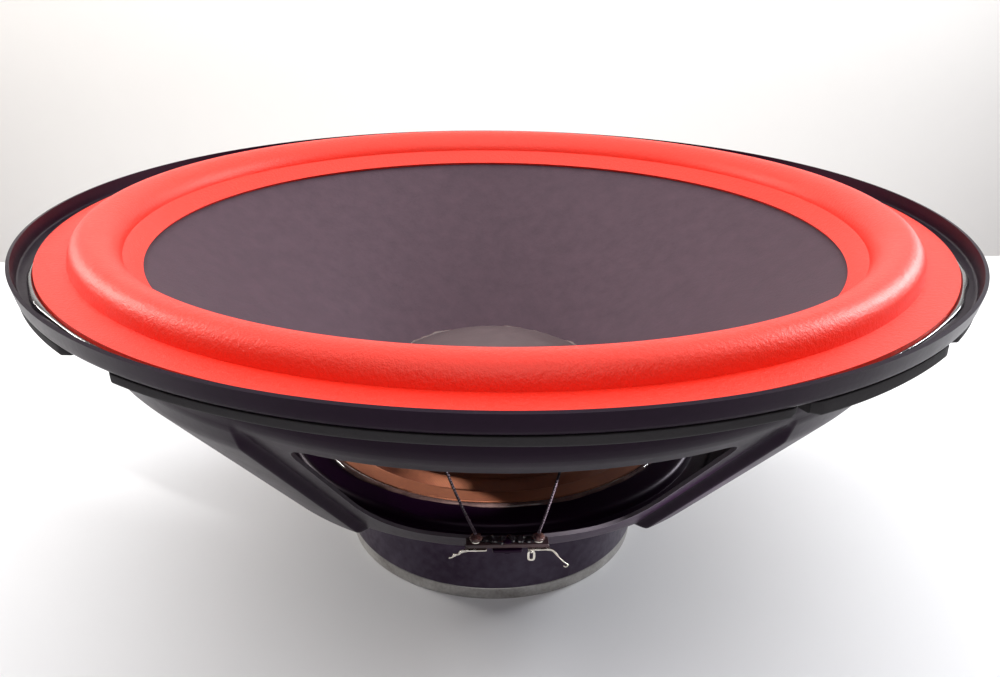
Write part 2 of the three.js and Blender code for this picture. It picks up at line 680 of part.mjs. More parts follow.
// A rivet through the board and what lies under it.
function rivet(gripBottom, gripTop) {
  const low = gripBottom - FIT_GAP;
  const high = gripTop + FIT_GAP;
  return turned(
    [
      [0, low - RIVET_HEAD_HEIGHT],
      [RIVET_HEAD / 2, low - RIVET_HEAD_HEIGHT],
      [RIVET_HEAD / 2, low],
      [RIVET_SHANK / 2, low],
      [RIVET_SHANK / 2, high],
      [RIVET_HEAD / 2, high],
      [RIVET_HEAD / 2, high + RIVET_HEAD_HEIGHT],
      [0, high + RIVET_HEAD_HEIGHT],
    ],
    TERMINAL_FACETS,
  );
}
const solderBottom = boardTop + 2 * FIT_GAP + RIVET_HEAD_HEIGHT;
const solderJoint = turned(
  [
    [0, solderBottom],
    [SOLDER_DIAMETER / 2, solderBottom],
    [SOLDER_DIAMETER / 3, solderBottom + SOLDER_HEIGHT * 0.75],
    [0, solderBottom + SOLDER_HEIGHT],
  ],
  TERMINAL_FACETS,
);

// Anchors are little pads glued to the cone's underside, square to its slope.
const coneLean = Math.atan(coneSlope);
const underConeAt = (radius) => coneTopAt(radius) - coneWallDrop;
function underCone(side, clear) {
  const azimuth = radians(side * ANCHOR_AZIMUTH);
  const radius = ANCHOR_RADIUS + clear * Math.sin(coneLean);
  const height = underConeAt(ANCHOR_RADIUS) - clear * Math.cos(coneLean);
  return new THREE.Vector3(radius * Math.sin(azimuth), -radius * Math.cos(azimuth), height);
}
const anchorPad = terminalBar(ANCHOR_DIAMETER, -ANCHOR_HEIGHT / 2, ANCHOR_HEIGHT / 2);

// A lead sags from its solder joint to its anchor. Its middle hangs below the straight line.
function leadBetween(start, end) {
  const middle = start.clone().lerp(end, 0.5);
  middle.z -= LEAD_SAG;
  const route = new THREE.QuadraticBezierCurve3(start, middle, end);
  const section = new THREE.Shape().absarc(0, 0, LEAD_DIAMETER / 2, 0, 2 * Math.PI, false);
  const options = { steps: LEAD_STEPS, bevelEnabled: false, extrudePath: route, curveSegments: 4 };
  return new THREE.ExtrudeGeometry(section, options);
}
function tinselLead(side) {
  const clear = LEAD_DIAMETER / 2 + FIT_GAP;
  const jointTop = solderBottom + SOLDER_HEIGHT + clear;
  const start = new THREE.Vector3(side * LUG_PLACE, -lugRivetRadius, jointTop);
  const end = underCone(side, ANCHOR_HEIGHT + 2 * FIT_GAP + clear);
  return leadBetween(start, end);
}

// ---- The assembly ----

const finish = (color, roughness, metalness) => {
  return new THREE.MeshStandardMaterial({ color, roughness, metalness });
};
const blackPaint = finish(0x1c171f, 0.35, 0.3);
const redFoam = finish(0xe8301f, 0.55, 0);
const greyPaper = finish(0x4a4048, 0.9, 0);
const blackFoam = finish(0x141214, 0.95, 0);
const clearGlue = finish(0x8d8178, 0.2, 0);
const blackGlue = finish(0x0c0a0c, 0.15, 0);
const amberCloth = finish(0xa5652c, 0.8, 0);
const ferrite = finish(0x2e2a33, 0.5, 0.2);
const zincSteel = finish(0xa8a49c, 0.35, 0.9);
const copper = finish(0xb0602e, 0.35, 0.9);
const brownCard = finish(0x8a6238, 0.7, 0);
const tinnedBrass = finish(0xcfc8bb, 0.3, 0.9);
const fibreBoard = finish(0x16110f, 0.6, 0);

const speaker = new THREE.Group();
const frameGroup = new THREE.Group();
const movingGroup = new THREE.Group();
speaker.add(frameGroup, movingGroup);

function place(group, name, geometry, material, x = 0, y = 0, z = 0) {
  const mesh = new THREE.Mesh(geometry, material);
  mesh.name = name;
  mesh.position.set(x, y, z);
  group.add(mesh);
  return mesh;
}

place(frameGroup, "back_plate", backPlate, zincSteel);
place(frameGroup, "pole_piece", polePiece, zincSteel);
place(frameGroup, "magnet", magnet, ferrite);
place(frameGroup, "top_plate", topPlate, zincSteel);
place(frameGroup, "basket", basket, blackPaint);
rivetPlaces.forEach(([x, y], i) => {
  place(frameGroup, "basket_rivet_" + (i + 1), floorRivet, zincSteel, x, y);
});
GASKET_STRIPS.forEach((strip) => {
  place(frameGroup, strip.name, gasketStrip(strip), blackFoam);
});
place(frameGroup, "surround", surround, redFoam);
place(frameGroup, "surround_glue_bead", surroundBead, blackGlue);
place(frameGroup, "spider", spider, amberCloth);
place(frameGroup, "spider_seat_glue", spiderGlue, clearGlue);

place(movingGroup, "cone", cone, greyPaper);
place(movingGroup, "dust_cap", dustCap, greyPaper);
place(movingGroup, "dust_cap_glue", capGlue, clearGlue);
place(movingGroup, "voice_coil_former", former, brownCard);
place(movingGroup, "voice_coil_winding", winding, copper);
place(movingGroup, "cone_neck_glue", neckGlue, blackGlue);
place(movingGroup, "spider_neck_glue", spiderNeckGlue, blackGlue);

place(frameGroup, "terminal_board", terminalBoard, fibreBoard);
const tabRivet = rivet(windowSill - SHEET, boardTop);
place(frameGroup, "terminal_board_rivet", tabRivet, tinnedBrass, 0, -tabRivetRadius);
place(frameGroup, "terminal_lug_left", lugLeft, tinnedBrass);
place(frameGroup, "terminal_lug_right", lugRight, tinnedBrass);
const lugRivet = rivet(lugBottom, boardTop);
[
  ["left", -1],
  ["right", 1],
].forEach(([name, side]) => {
  const x = side * LUG_PLACE;
  place(frameGroup, "terminal_rivet_" + name, lugRivet, tinnedBrass, x, -lugRivetRadius);
  place(frameGroup, "solder_joint_" + name, solderJoint, tinnedBrass, x, -lugRivetRadius);
  place(frameGroup, "tinsel_lead_" + name, tinselLead(side), blackPaint);
  const seat = underCone(side, FIT_GAP + ANCHOR_HEIGHT / 2);
  const pad = place(movingGroup, "lead_anchor_" + name, anchorPad, blackGlue, seat.x, seat.y, seat.z);
  pad.rotation.set(-coneLean, 0, radians(side * ANCHOR_AZIMUTH), "ZYX");
});

export default speaker;
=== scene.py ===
import math
import bpy
import numpy as np
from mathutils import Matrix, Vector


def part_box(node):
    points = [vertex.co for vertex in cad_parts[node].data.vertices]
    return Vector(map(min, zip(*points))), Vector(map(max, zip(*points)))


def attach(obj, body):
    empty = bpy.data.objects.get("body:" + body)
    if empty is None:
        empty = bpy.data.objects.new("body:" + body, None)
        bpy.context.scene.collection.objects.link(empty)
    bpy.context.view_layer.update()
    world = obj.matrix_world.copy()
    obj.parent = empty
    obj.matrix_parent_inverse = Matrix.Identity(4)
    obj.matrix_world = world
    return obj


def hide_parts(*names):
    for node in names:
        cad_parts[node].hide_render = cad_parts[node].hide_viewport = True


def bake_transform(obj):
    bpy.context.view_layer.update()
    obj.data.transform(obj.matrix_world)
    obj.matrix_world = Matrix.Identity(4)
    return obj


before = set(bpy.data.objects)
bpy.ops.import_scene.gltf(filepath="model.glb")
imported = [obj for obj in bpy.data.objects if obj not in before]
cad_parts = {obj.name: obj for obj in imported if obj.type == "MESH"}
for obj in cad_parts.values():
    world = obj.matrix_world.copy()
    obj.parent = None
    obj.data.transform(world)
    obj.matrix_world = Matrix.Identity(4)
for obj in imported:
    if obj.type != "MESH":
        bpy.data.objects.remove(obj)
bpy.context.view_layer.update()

# The woofer from its magnet up. Lengths are millimetres until a mesh is made, azimuths count from
# the front, where the terminals are, towards +X, and a profile is a list of [radius, height].


# ---- Back plate ----
# A flat ring of mild steel, turned on its faces and edge and zinc plated. The magnet is glued to it
# and the speaker stands on it.

def reach(node):
    """Outer radius, lowest and highest point of a CAD piece round the axis, in millimetres."""
    low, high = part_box(node)
    return 1000 * high.x, 1000 * low.z, 1000 * high.z


def eased(corners, cuts, steps=5):
    """A line through corners, each turned into a parabola that meets both sides one cut away from it:
    (1-t)^2 before + 2t(1-t) corner + t^2 after. A cut of 0 keeps the corner sharp."""
    corner = np.asarray(corners, float)
    cut = np.broadcast_to(np.asarray(cuts, float), len(corner))[:, None]
    back = np.roll(corner, 1, 0) - corner
    ahead = np.roll(corner, -1, 0) - corner
    before = corner + back * cut / np.linalg.norm(back, axis=1, keepdims=True)
    after = corner + ahead * cut / np.linalg.norm(ahead, axis=1, keepdims=True)
    t = np.linspace(0, 1, steps + 1)[None, :, None]
    line = (1 - t) ** 2 * before[:, None] + 2 * t * (1 - t) * corner[:, None] + t ** 2 * after[:, None]
    line = line.reshape(-1, 2)
    return line[np.linalg.norm(line - np.roll(line, 1, 0), axis=1) > 1e-4]


def made(name, points, faces, sharp=38):
    """A mesh from points in millimetres and faces, smooth except where it turns by more than an angle."""
    mesh = bpy.data.meshes.new(name)
    mesh.from_pydata((np.asarray(points) / 1000).tolist(), [], [list(face) for face in faces])
    mesh.validate()
    mesh.shade_smooth()
    mesh.set_sharp_from_angle(angle=math.radians(sharp))
    piece = bpy.data.objects.new(name, mesh)
    bpy.context.scene.collection.objects.link(piece)
    return piece


def turned(name, outline, turns=192, closed=True, at=(0, 0), sharp=38):
    """A closed outline carried round an upright axis: its point at azimuth a is (radius sin a,
    -radius cos a, height). An outline that isn't closed starts and ends on the axis, where each end
    becomes one point. The radius and height may change with the azimuth, one column for each turn."""
    azimuth = np.arange(turns) * 2 * np.pi / turns
    radius, height = np.moveaxis(np.asarray(outline, float), -1, 0)
    radius = np.broadcast_to(radius.reshape(len(radius), -1), (len(radius), turns))
    height = np.broadcast_to(height.reshape(len(height), -1), (len(height), turns))
    points = np.stack([at[0] + radius * np.sin(azimuth), at[1] - radius * np.cos(azimuth), height], 2)
    index = np.arange(radius.size).reshape(radius.shape)
    if closed:
        lower, upper = index, np.roll(index, -1, 0)
    else:
        index[0], index[-1] = index[0, 0], index[-1, 0]
        lower, upper = index[:-1], index[1:]
    quads = np.stack([lower, np.roll(lower, -1, 1), np.roll(upper, -1, 1), upper], 2).reshape(-1, 4)
    corner = [list(dict.fromkeys(quad)) for quad in quads.tolist()]
    used = np.unique(np.concatenate(corner))
    place = np.zeros(radius.size, int)
    place[used] = np.arange(len(used))
    return made(name, points.reshape(-1, 3)[used], [place[face].tolist() for face in corner], sharp)


def wired(tree, kind, inputs=None, **settings):
    """A shader node with its settings, whose inputs are other nodes' outputs or plain values."""
    node = tree.nodes.new(kind)
    for key, value in settings.items():
        setattr(node, key, value)
    for key, value in (inputs or {}).items():
        if isinstance(value, bpy.types.NodeSocket):
            tree.links.new(value, node.inputs[key])
        else:
            node.inputs[key].default_value = value
    return node


def effect(name, inputs, outputs):
    """An empty node group with named inputs (kind and value) and outputs (kind)."""
    tree = bpy.data.node_groups.new(name, "ShaderNodeTree")
    for label, (kind, value) in inputs.items():
        socket = tree.interface.new_socket(label, in_out="INPUT", socket_type="NodeSocket" + kind)
        if value is not None:
            socket.default_value = value
    for label, kind in outputs.items():
        tree.interface.new_socket(label, in_out="OUTPUT", socket_type="NodeSocket" + kind)
    return tree, tree.nodes.new("NodeGroupInput").outputs, tree.nodes.new("NodeGroupOutput").inputs


# Two tones that drift into each other in soft patches, with finer specks in them.
drift, given, out = effect(
    "tone drift",
    {"Vector": ("Vector", None), "Light": ("Color", (1, 1, 1, 1)), "Dark": ("Color", (0, 0, 0, 1)),
     "Scale": ("Float", 60.0), "Contrast": ("Float", 1.0)},
    {"Color": "Color", "Mask": "Float"})
broad = wired(drift, "ShaderNodeTexNoise", {"Vector": given["Vector"], "Scale": given["Scale"],
                                            "Detail": 5.0, "Roughness": 0.6})
tenfold = wired(drift, "ShaderNodeMath", {0: given["Scale"], 1: 11.0}, operation="MULTIPLY")
specks = wired(drift, "ShaderNodeTexNoise", {"Vector": given["Vector"], "Scale": tenfold.outputs[0],
                                             "Detail": 3.0})
joined = wired(drift, "ShaderNodeMath", {0: specks.outputs["Fac"], 1: 0.45, 2: broad.outputs["Fac"]},
               operation="MULTIPLY_ADD")
centred = wired(drift, "ShaderNodeMath", {0: joined.outputs[0], 1: 0.725}, operation="SUBTRACT")
spread = wired(drift, "ShaderNodeMath", {0: centred.outputs[0], 1: given["Contrast"], 2: 0.5},
               operation="MULTIPLY_ADD", use_clamp=True)
tones = wired(drift, "ShaderNodeMix", {0: spread.outputs[0], 6: given["Dark"], 7: given["Light"]},
              data_type="RGBA")
drift.links.new(tones.outputs[2], out["Color"])
drift.links.new(spread.outputs[0], out["Mask"])

# Fine rings left by the lathe: a noise that changes only with the distance from the axis and the height.
rings, given, out = effect("lathe rings", {"Vector": ("Vector", None), "Pitch": ("Float", 2500.0)},
                           {"Height": "Float"})
apart = wired(rings, "ShaderNodeSeparateXYZ", {0: given["Vector"]})
level = wired(rings, "ShaderNodeCombineXYZ", {0: apart.outputs[0], 1: apart.outputs[1]})
radial = wired(rings, "ShaderNodeVectorMath", {0: level.outputs[0]}, operation="LENGTH")
along = wired(rings, "ShaderNodeMath", {0: radial.outputs["Value"], 1: apart.outputs[2]}, operation="ADD")
pitched = wired(rings, "ShaderNodeMath", {0: along.outputs[0], 1: given["Pitch"]}, operation="MULTIPLY")
cuts = wired(rings, "ShaderNodeTexNoise", {"W": pitched.outputs[0], "Scale": 1.0, "Detail": 2.0},
             noise_dimensions="1D")
rings.links.new(cuts.outputs["Fac"], out["Height"])

# A fine even grain, as moulding, pressing or paint leaves on a skin.
grain, given, out = effect("fine grain", {"Vector": ("Vector", None), "Scale": ("Float", 900.0)},
                           {"Height": "Float"})
pits = wired(grain, "ShaderNodeTexNoise", {"Vector": given["Vector"], "Scale": given["Scale"],
                                           "Detail": 3.0, "Roughness": 0.65})
grain.links.new(pits.outputs["Fac"], out["Height"])


def skin(name, light, dark, patch, contrast, rough, reliefs, metallic=0.0, **constants):
    """A material whose colour drifts between two tones, whose roughness follows the drift from rough[0]
    to rough[1], and whose skin carries each relief: (effect, its inputs, its depth in millimetres)."""
    material = bpy.data.materials.new(name)
    material.use_nodes = True
    tree = material.node_tree
    shader = tree.nodes["Principled BSDF"]
    shader.inputs["Metallic"].default_value = metallic
    for socket, value in constants.items():
        shader.inputs[socket.replace("_", " ")].default_value = value
    place = wired(tree, "ShaderNodeTexCoord").outputs["Object"]
    tone = wired(tree, "ShaderNodeGroup", node_tree=drift)
    tree.links.new(place, tone.inputs["Vector"])
    tone.inputs["Light"].default_value = (*light, 1)
    tone.inputs["Dark"].default_value = (*dark, 1)
    tone.inputs["Scale"].default_value = patch
    tone.inputs["Contrast"].default_value = contrast
    tree.links.new(tone.outputs["Color"], shader.inputs["Base Color"])
    gloss = wired(tree, "ShaderNodeMapRange", {"Value": tone.outputs["Mask"], "To Min": rough[0],
                                               "To Max": rough[1]})
    tree.links.new(gloss.outputs[0], shader.inputs["Roughness"])
    for kind, inputs, depth in reliefs:
        relief = wired(tree, "ShaderNodeGroup", node_tree=kind)
        tree.links.new(place, relief.inputs["Vector"])
        for socket, value in inputs.items():
            relief.inputs[socket].default_value = value
        bump = wired(tree, "ShaderNodeBump", {"Height": relief.outputs["Height"], "Strength": 1.0,
                                              "Distance": depth / 1000})
        if shader.inputs["Normal"].is_linked:
            tree.links.new(shader.inputs["Normal"].links[0].from_socket, bump.inputs["Normal"])
        tree.links.new(bump.outputs["Normal"], shader.inputs["Normal"])
    return material


plate_radius, plate_bottom, plate_top = reach("back_plate")
plate_bore = 15.3
zinc = skin("zinc plate", (0.56, 0.55, 0.53), (0.30, 0.28, 0.26), 70, 2.2, (0.30, 0.48),
            [(rings, {"Pitch": 2600}, 0.05), (grain, {"Scale": 1400}, 0.02)], metallic=0.85)
back_plate = turned("back_plate_turned", eased(
    [[plate_bore, plate_bottom], [plate_radius, plate_bottom], [plate_radius, plate_top],
     [plate_bore, plate_top]], 0.8))
back_plate.data.materials.append(zinc)
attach(back_plate, "frame")
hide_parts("back_plate")


# ---- Pole piece ----
# A turned steel core that stands inside the coil. Its foot is pressed into the back plate's bore.

pole_radius, pole_bottom, pole_top = reach("pole_piece")
pole_foot_radius = 15
pole_piece = turned("pole_piece_turned", np.concatenate([
    [[0, pole_bottom]],
    eased([[0, pole_bottom], [pole_foot_radius, pole_bottom], [pole_foot_radius, plate_top + 0.3],
           [pole_radius, plate_top + 0.3], [pole_radius, pole_top], [0, pole_top]],
          [0, 0.5, 0.3, 0.5, 0.8, 0])[1:],
]), 96, closed=False)
pole_piece.data.materials.append(zinc)
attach(pole_piece, "frame")
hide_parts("pole_piece")


# ---- Magnet ----
# A pressed and fired ring of ferrite, ground flat on both faces and left as fired on its edge, with
# its corners rubbed down. Handling leaves paler scuffs on it.

magnet_radius, magnet_bottom, magnet_top = reach("magnet")
magnet_bore = 43.9
ferrite = skin("fired ferrite", (0.070, 0.056, 0.084), (0.026, 0.014, 0.032), 26, 2.4, (0.52, 0.34),
               [(grain, {"Scale": 260}, 0.10), (grain, {"Scale": 1500}, 0.03)],
               Specular_IOR_Level=0.25, Specular_Tint=(1.0, 0.84, 1.0, 1.0))
magnet = turned("magnet_ring", eased(
    [[magnet_bore, magnet_bottom], [magnet_radius, magnet_bottom], [magnet_radius, magnet_top],
     [magnet_bore, magnet_top]], [0.5, 1.0, 1.8, 0.5]))
magnet.data.materials.append(ferrite)
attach(magnet, "frame")
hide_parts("magnet")


# ---- Top plate ----
# The second steel ring closes the magnetic circuit round the coil. The basket is riveted to it.

top_radius, top_bottom, top_top = reach("top_plate")
top_bore = 34.9
top_plate = turned("top_plate_turned", eased(
    [[top_bore, top_bottom], [top_radius, top_bottom], [top_radius, top_top], [top_bore, top_top]], 0.6))
top_plate.data.materials.append(zinc)
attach(top_plate, "frame")
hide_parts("top_plate")


# ---- Basket ----
# One sheet of 1.4 mm steel pressed into a bowl with a step for the spider, a channel, four raised
# ribs and a lipped flange, then pierced with four windows and eight screw holes and stoved black.

SHEET = 1.4
RIB_RISE = 4.9
RIB_HALF = 15.0
RIB_EDGE = 0.6
rim_radius, rim_height = 106.0, 53.9
bend_radius, bend_height = 171.4, 131.3
floor_height, step_height, flange_height = 38.9, 57.7, 152.1
wall_slope = (bend_radius - rim_radius) / (bend_height - rim_height)
lip_radius = reach("basket")[0]
hole_circle, hole_radius = 186.2, 3.0
window_low, window_high = 60.0, 127.5
hole_low, hole_high = 181.0, 191.4


def wall(height):
    """Radius of the bowl's plain wall at a height: a straight line from the rim to the bend."""
    return rim_radius + (height - rim_height) * wall_slope


def filled(line, step):
    """The same line with points added along it, so that none is further than a step from the next."""
    run = np.concatenate([[0], np.cumsum(np.linalg.norm(np.diff(line, axis=0), axis=1))])
    stops = np.union1d(run, np.arange(0, run[-1], step))
    stops = stops[np.concatenate([[True], np.diff(stops) > 1e-3])]
    return np.stack([np.interp(stops, run, line[:, 0]), np.interp(stops, run, line[:, 1])], 1)


def nearest(values, value):
    """Index of the value nearest to the one asked for."""
    return int(np.argmin(np.abs(values - value)))


def ramp(share):
    """0 up to 0, 1 from 1 on, and a smooth rise 3s^2 - 2s^3 between."""
    share = np.clip(share, 0, 1)
    return share * share * (3 - 2 * share)


basket_line = filled(eased(
    [[40.9, floor_height], [78, floor_height], [79.5, step_height], [95.5, step_height],
     [97, rim_height], [rim_radius, rim_height],
     [wall(window_low), window_low], [wall(window_high), window_high], [bend_radius, bend_height],
     [172.6, flange_height], [hole_low, flange_height], [hole_high, flange_height],
     [lip_radius - 1.4, flange_height], [lip_radius, 159.3]],
    [0, 2.0, 1.8, 1.2, 1.2, 3.0, 0, 0, 4.0, 3.0, 0, 0, 1.9, 0]), 3.0)
rib_sides = (np.array([30, 60, 120, 150, 210, 240, 300, -30])[:, None]
             + np.linspace(-RIB_EDGE, RIB_EDGE, 9)).ravel()
azimuths = np.unique(np.round(np.concatenate([np.arange(-45, 315, 0.75), rib_sides]), 4))
leg_distance = np.abs((azimuths + 360) % 90 - 45)
rib_share = ramp((RIB_HALF + RIB_EDGE - leg_distance) / (2 * RIB_EDGE))
radius, height = basket_line.T
row_rise = RIB_RISE * ramp((radius - 99) / 7) * np.clip((bend_height - height) / 10.5, 0, 1)
row_radius = radius[:, None] + row_rise[:, None] * rib_share
angle = np.radians(azimuths)
basket_points = np.stack([row_radius * np.sin(angle), -row_radius * np.cos(angle),
                          np.broadcast_to(height[:, None], row_radius.shape)], 2).reshape(-1, 3)
basket_index = np.arange(row_radius.size).reshape(row_radius.shape)
kept = np.ones((len(radius) - 1, len(azimuths)), bool)
patches, patch_faces, patch_edge = [], [], []


def pierce(centre, rows, half, outline, flat, solid, rings_across=7):
    """Opens the sheet between two rows and half an angle each side of a centre. The sheet left round
    the hole is loops of points: flat position = outline + share (border - outline), where the outline
    point is the one in the same direction from the middle as the border point."""
    left, right = nearest(azimuths, centre - half), nearest(azimuths, centre + half)
    low, high = rows
    kept[low:high, left:right] = False
    border = np.concatenate([basket_index[low, left:right], basket_index[low:high, right],
                             basket_index[high, right:left:-1], basket_index[high:low:-1, left]])
    turn = math.radians(centre)
    x, y, z = basket_points[border].T
    edge = flat(x * math.cos(turn) + y * math.sin(turn), y * math.cos(turn) - x * math.sin(turn), z)
    middle = (edge.max(0) + edge.min(0)) / 2
    half_size = (edge.max(0) - edge.min(0)) / 2
    way = np.arctan2(*((edge - middle) / half_size).T[::-1])
    seen = np.arctan2(*((outline - middle) / half_size).T[::-1])
    inner = np.stack([np.interp(way, seen, outline[:, i], period=2 * np.pi) for i in (0, 1)], 1)
    share = (np.arange(rings_across) / rings_across)[:, None, None] ** 1.6
    x, y, z = solid(inner + (edge - inner) * share)
    loop = np.stack([x * math.cos(turn) - y * math.sin(turn), x * math.sin(turn) + y * math.cos(turn), z], 2)
    start = basket_index.size + sum(len(patch) for patch in patches)
    index = np.concatenate([start + np.arange(loop.shape[0] * loop.shape[1]).reshape(loop.shape[:2]),
                            border[None]])
    inside, outside = index[:-1], index[1:]
    patches.append(loop.reshape(-1, 3))
    patch_edge.append(np.repeat(1 - share.ravel(), loop.shape[1]))
    patch_faces.append(np.stack([inside, outside, np.roll(outside, -1, 1), np.roll(inside, -1, 1)], 2)
                       .reshape(-1, 4))


# A window's outline is taken twice round and cut in half, so that its closing side gets points too.
sill, sill_half, head, head_half = 64.9, 48.7, 124.3, 71.5
window_outline = filled(np.concatenate([eased(
    [[sill_half, sill], [head_half, head], [-head_half, head], [-sill_half, sill]],
    [20, 9, 9, 20], 16)] * 2), 1.5)
window_outline = window_outline[: len(window_outline) // 2]
wall_height = basket_line[:, 1] + (basket_line[:, 0] > 170) * 99
window_rows = (nearest(wall_height, window_low), nearest(wall_height, window_high))
for centre in (0, 90, 180, 270):
    pierce(centre, window_rows, 28.5, window_outline,
           lambda x, y, z: np.stack([x, z], 1),
           lambda p: (p[..., 0], -np.sqrt(wall(p[..., 1]) ** 2 - p[..., 0] ** 2), p[..., 1]))

round_about = np.radians(np.arange(0, 360, 6))
hole_outline = hole_radius * np.stack([np.cos(round_about), np.sin(round_about)], 1)
hole_rows = (nearest(basket_line[:, 0], hole_low), nearest(basket_line[:, 0], hole_high))
for centre in np.arange(-22.5, 300, 45):
    pierce(centre, hole_rows, 2.25, hole_outline,
           lambda x, y, z: np.stack([x, -y - hole_circle], 1),
           lambda p: (p[..., 0], -p[..., 1] - hole_circle, np.full(p.shape[:-1], flange_height)), 3)

lower, upper = basket_index[:-1], basket_index[1:]
cells = np.stack([lower, np.roll(lower, -1, 1), np.roll(upper, -1, 1), upper], 2)[kept]
basket_faces = np.concatenate([cells, *patch_faces])
basket_points = np.concatenate([basket_points, *patches])
edge_wear_and_highlight = np.concatenate([np.zeros(basket_index.size), *patch_edge])
used = np.unique(basket_faces)
place = np.zeros(len(basket_points), int)
place[used] = np.arange(len(used))
basket = made("basket_pressing", basket_points[used], place[basket_faces], 60)
# The cut edges of the windows and holes are marked in an attribute. The paint turns lighter there, partly
# from wear and partly as a painted highlight.
basket.data.attributes.new("edge_wear_and_highlight", "FLOAT", "POINT").data.foreach_set(
    "value", edge_wear_and_highlight[used].astype(np.float32))
wall_thickness = basket.modifiers.new("sheet", "SOLIDIFY")
wall_thickness.thickness = SHEET / 1000
wall_thickness.offset = -1
wall_thickness.use_even_offset = True
rounding = basket.modifiers.new("sheared edges", "BEVEL")
rounding.limit_method = "ANGLE"
rounding.angle_limit = math.radians(55)
rounding.width = 0.0004
rounding.segments = 2
rounding.harden_normals = True

black_paint = skin("stoved black paint", (0.008, 0.001, 0.009), (0.004, 0.0005, 0.005), 34, 1.6,
                   (0.40, 0.30), [(grain, {"Scale": 420}, 0.035), (grain, {"Scale": 1900}, 0.012)],
                   Specular_IOR_Level=0.13, Specular_Tint=(1.0, 0.74, 1.0, 1.0))
tree = black_paint.node_tree
paint = tree.nodes["Principled BSDF"]
# Painted highlight and wear: along the cut edges the paint is mixed towards a pale grey.
wear_and_highlight_mask = wired(tree, "ShaderNodeAttribute", attribute_name="edge_wear_and_highlight")
worn_and_highlit_share = wired(tree, "ShaderNodeMapRange", {"Value": wear_and_highlight_mask.outputs["Fac"], "From Min": 0.93, "To Max": 0.5})
tone = paint.inputs["Base Color"].links[0].from_socket
worn_and_highlit_tone = wired(tree, "ShaderNodeMix", {0: worn_and_highlit_share.outputs[0], 6: tone, 7: (0.10, 0.09, 0.10, 1)},
               data_type="RGBA")
tree.links.new(worn_and_highlit_tone.outputs[2], paint.inputs["Base Color"])
basket.data.materials.append(black_paint)
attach(basket, "frame")
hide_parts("basket")


# ---- Basket rivets ----
# Six steel rivets hold the basket's floor down on the top plate.

rivet_head = 4.0
for number in range(6):
    low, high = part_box(f"basket_rivet_{number + 1}")
    middle = 500 * (low + high)
    head = 1000 * high.z
    rivet = turned(f"floor_rivet_{number + 1}", np.concatenate([
        [[0, head - 9.5], [2, head - 9.5], [2, head - 1.6]],
        eased([[0, head], [rivet_head, head - 1.6], [rivet_head, head - 0.6], [0, head]],
              [0, 0.3, 1.2, 0])[1:],
    ]), 24, closed=False, at=(middle.x, middle.y))
    rivet.data.materials.append(zinc)
    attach(rivet, "frame")
    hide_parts(f"basket_rivet_{number + 1}")


# ---- Rear gasket ----
# Five strips of closed-cell foam stuck under the flange, square cut and crushed round at the corners.
# The one by the right leg is thicker than the others.

def swept(name, outline, start, end, turns, swell):
    """A closed outline carried round the axis between two azimuths in degrees. Its height above the
    base grows by a slow wave, and both ends are drawn in over the last steps and closed."""
    azimuth = np.radians(np.linspace(start, end, turns))
    edge = np.minimum(np.arange(turns), np.arange(turns)[::-1])
    pinch = np.minimum(1, np.sqrt(0.5 + edge / 2))
    centre = outline.mean(0)
    line = centre[:, None, None] + (outline.T[:, :, None] - centre[:, None, None]) * pinch
    base = outline[:, 1].max()
    radius = line[0]
    height = base + (line[1] - base) * (1 + swell * np.sin(5 * azimuth + 1.3) * np.sin(11 * azimuth))
    points = np.stack([radius * np.sin(azimuth), -radius * np.cos(azimuth), height], 2).reshape(-1, 3)
    index = np.arange(radius.size).reshape(radius.shape)
    ahead = np.roll(index, -1, 0)
    quads = np.stack([index[:, :-1], index[:, 1:], ahead[:, 1:], ahead[:, :-1]], 2).reshape(-1, 4)
    ends = [index[:, 0].tolist(), index[::-1, -1].tolist()]
    return made(name, points, quads.tolist() + ends, 50)


strip_foam = skin("black closed-cell foam", (0.022, 0.019, 0.021), (0.008, 0.006, 0.008), 90, 2.0,
                  (0.75, 0.92), [(grain, {"Scale": 700}, 0.12), (grain, {"Scale": 150}, 0.18)])
strip_outer = lip_radius - 2.0
strip_inner = strip_outer - 11
strips = {"rear_gasket_front": (-38, 22.3), "rear_gasket_right_corner": (23.7, 45),
          "rear_gasket_right": (46.5, 150), "rear_gasket_back": (152, 232),
          "rear_gasket_left": (234, 315)}
for node, (start, end) in strips.items():
    low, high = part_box(node)
    bottom, top = 1000 * low.z, 1000 * high.z
    strip = swept(node + "_strip", eased(
        [[strip_inner, bottom], [strip_outer, bottom], [strip_outer, top], [strip_inner, top]],
        [1.2, 1.2, 0.3, 0.3]), start, end, int((end - start) / 0.9), 0.05)
    strip.data.materials.append(strip_foam)
    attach(strip, "frame")
    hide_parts(node)


# ---- Terminals ----
# A tab bent out of the front window's sill carries a small fibre board. A tinned brass lug is riveted
# under each end of the board, its tail bent down, and set adhesive lies over the middle. The rivet that
# holds the board to the tab was painted black with the basket.

def slab(name, plan, bottom, top, soft, sharp=40):
    """A flat plan carried up through six levels: drawn in by its softness at the bottom and the top
    and full between, with both faces closed."""
    centre = plan.mean(0)
    size = (plan.max(0) - plan.min(0)) / 2
    inset = 1 - np.outer([soft, 0.3 * soft, 0, 0, 0.3 * soft, soft], 1 / size)
    rise = np.array([0, 0.3 * soft, soft, top - bottom - soft, top - bottom - 0.3 * soft, top - bottom])
    layer = centre + (plan - centre) * inset[:, None, :]
    level = np.broadcast_to((bottom + rise)[:, None, None], layer.shape[:2] + (1,))
    points = np.concatenate([layer, level], 2)
    index = np.arange(layer.shape[0] * layer.shape[1]).reshape(layer.shape[:2])
    low, up = index[:-1], index[1:]
    quads = np.stack([low, np.roll(low, -1, 1), np.roll(up, -1, 1), up], 2).reshape(-1, 4)
    return made(name, points.reshape(-1, 3), quads.tolist() + [index[0, ::-1].tolist(), index[-1].tolist()],
                sharp)


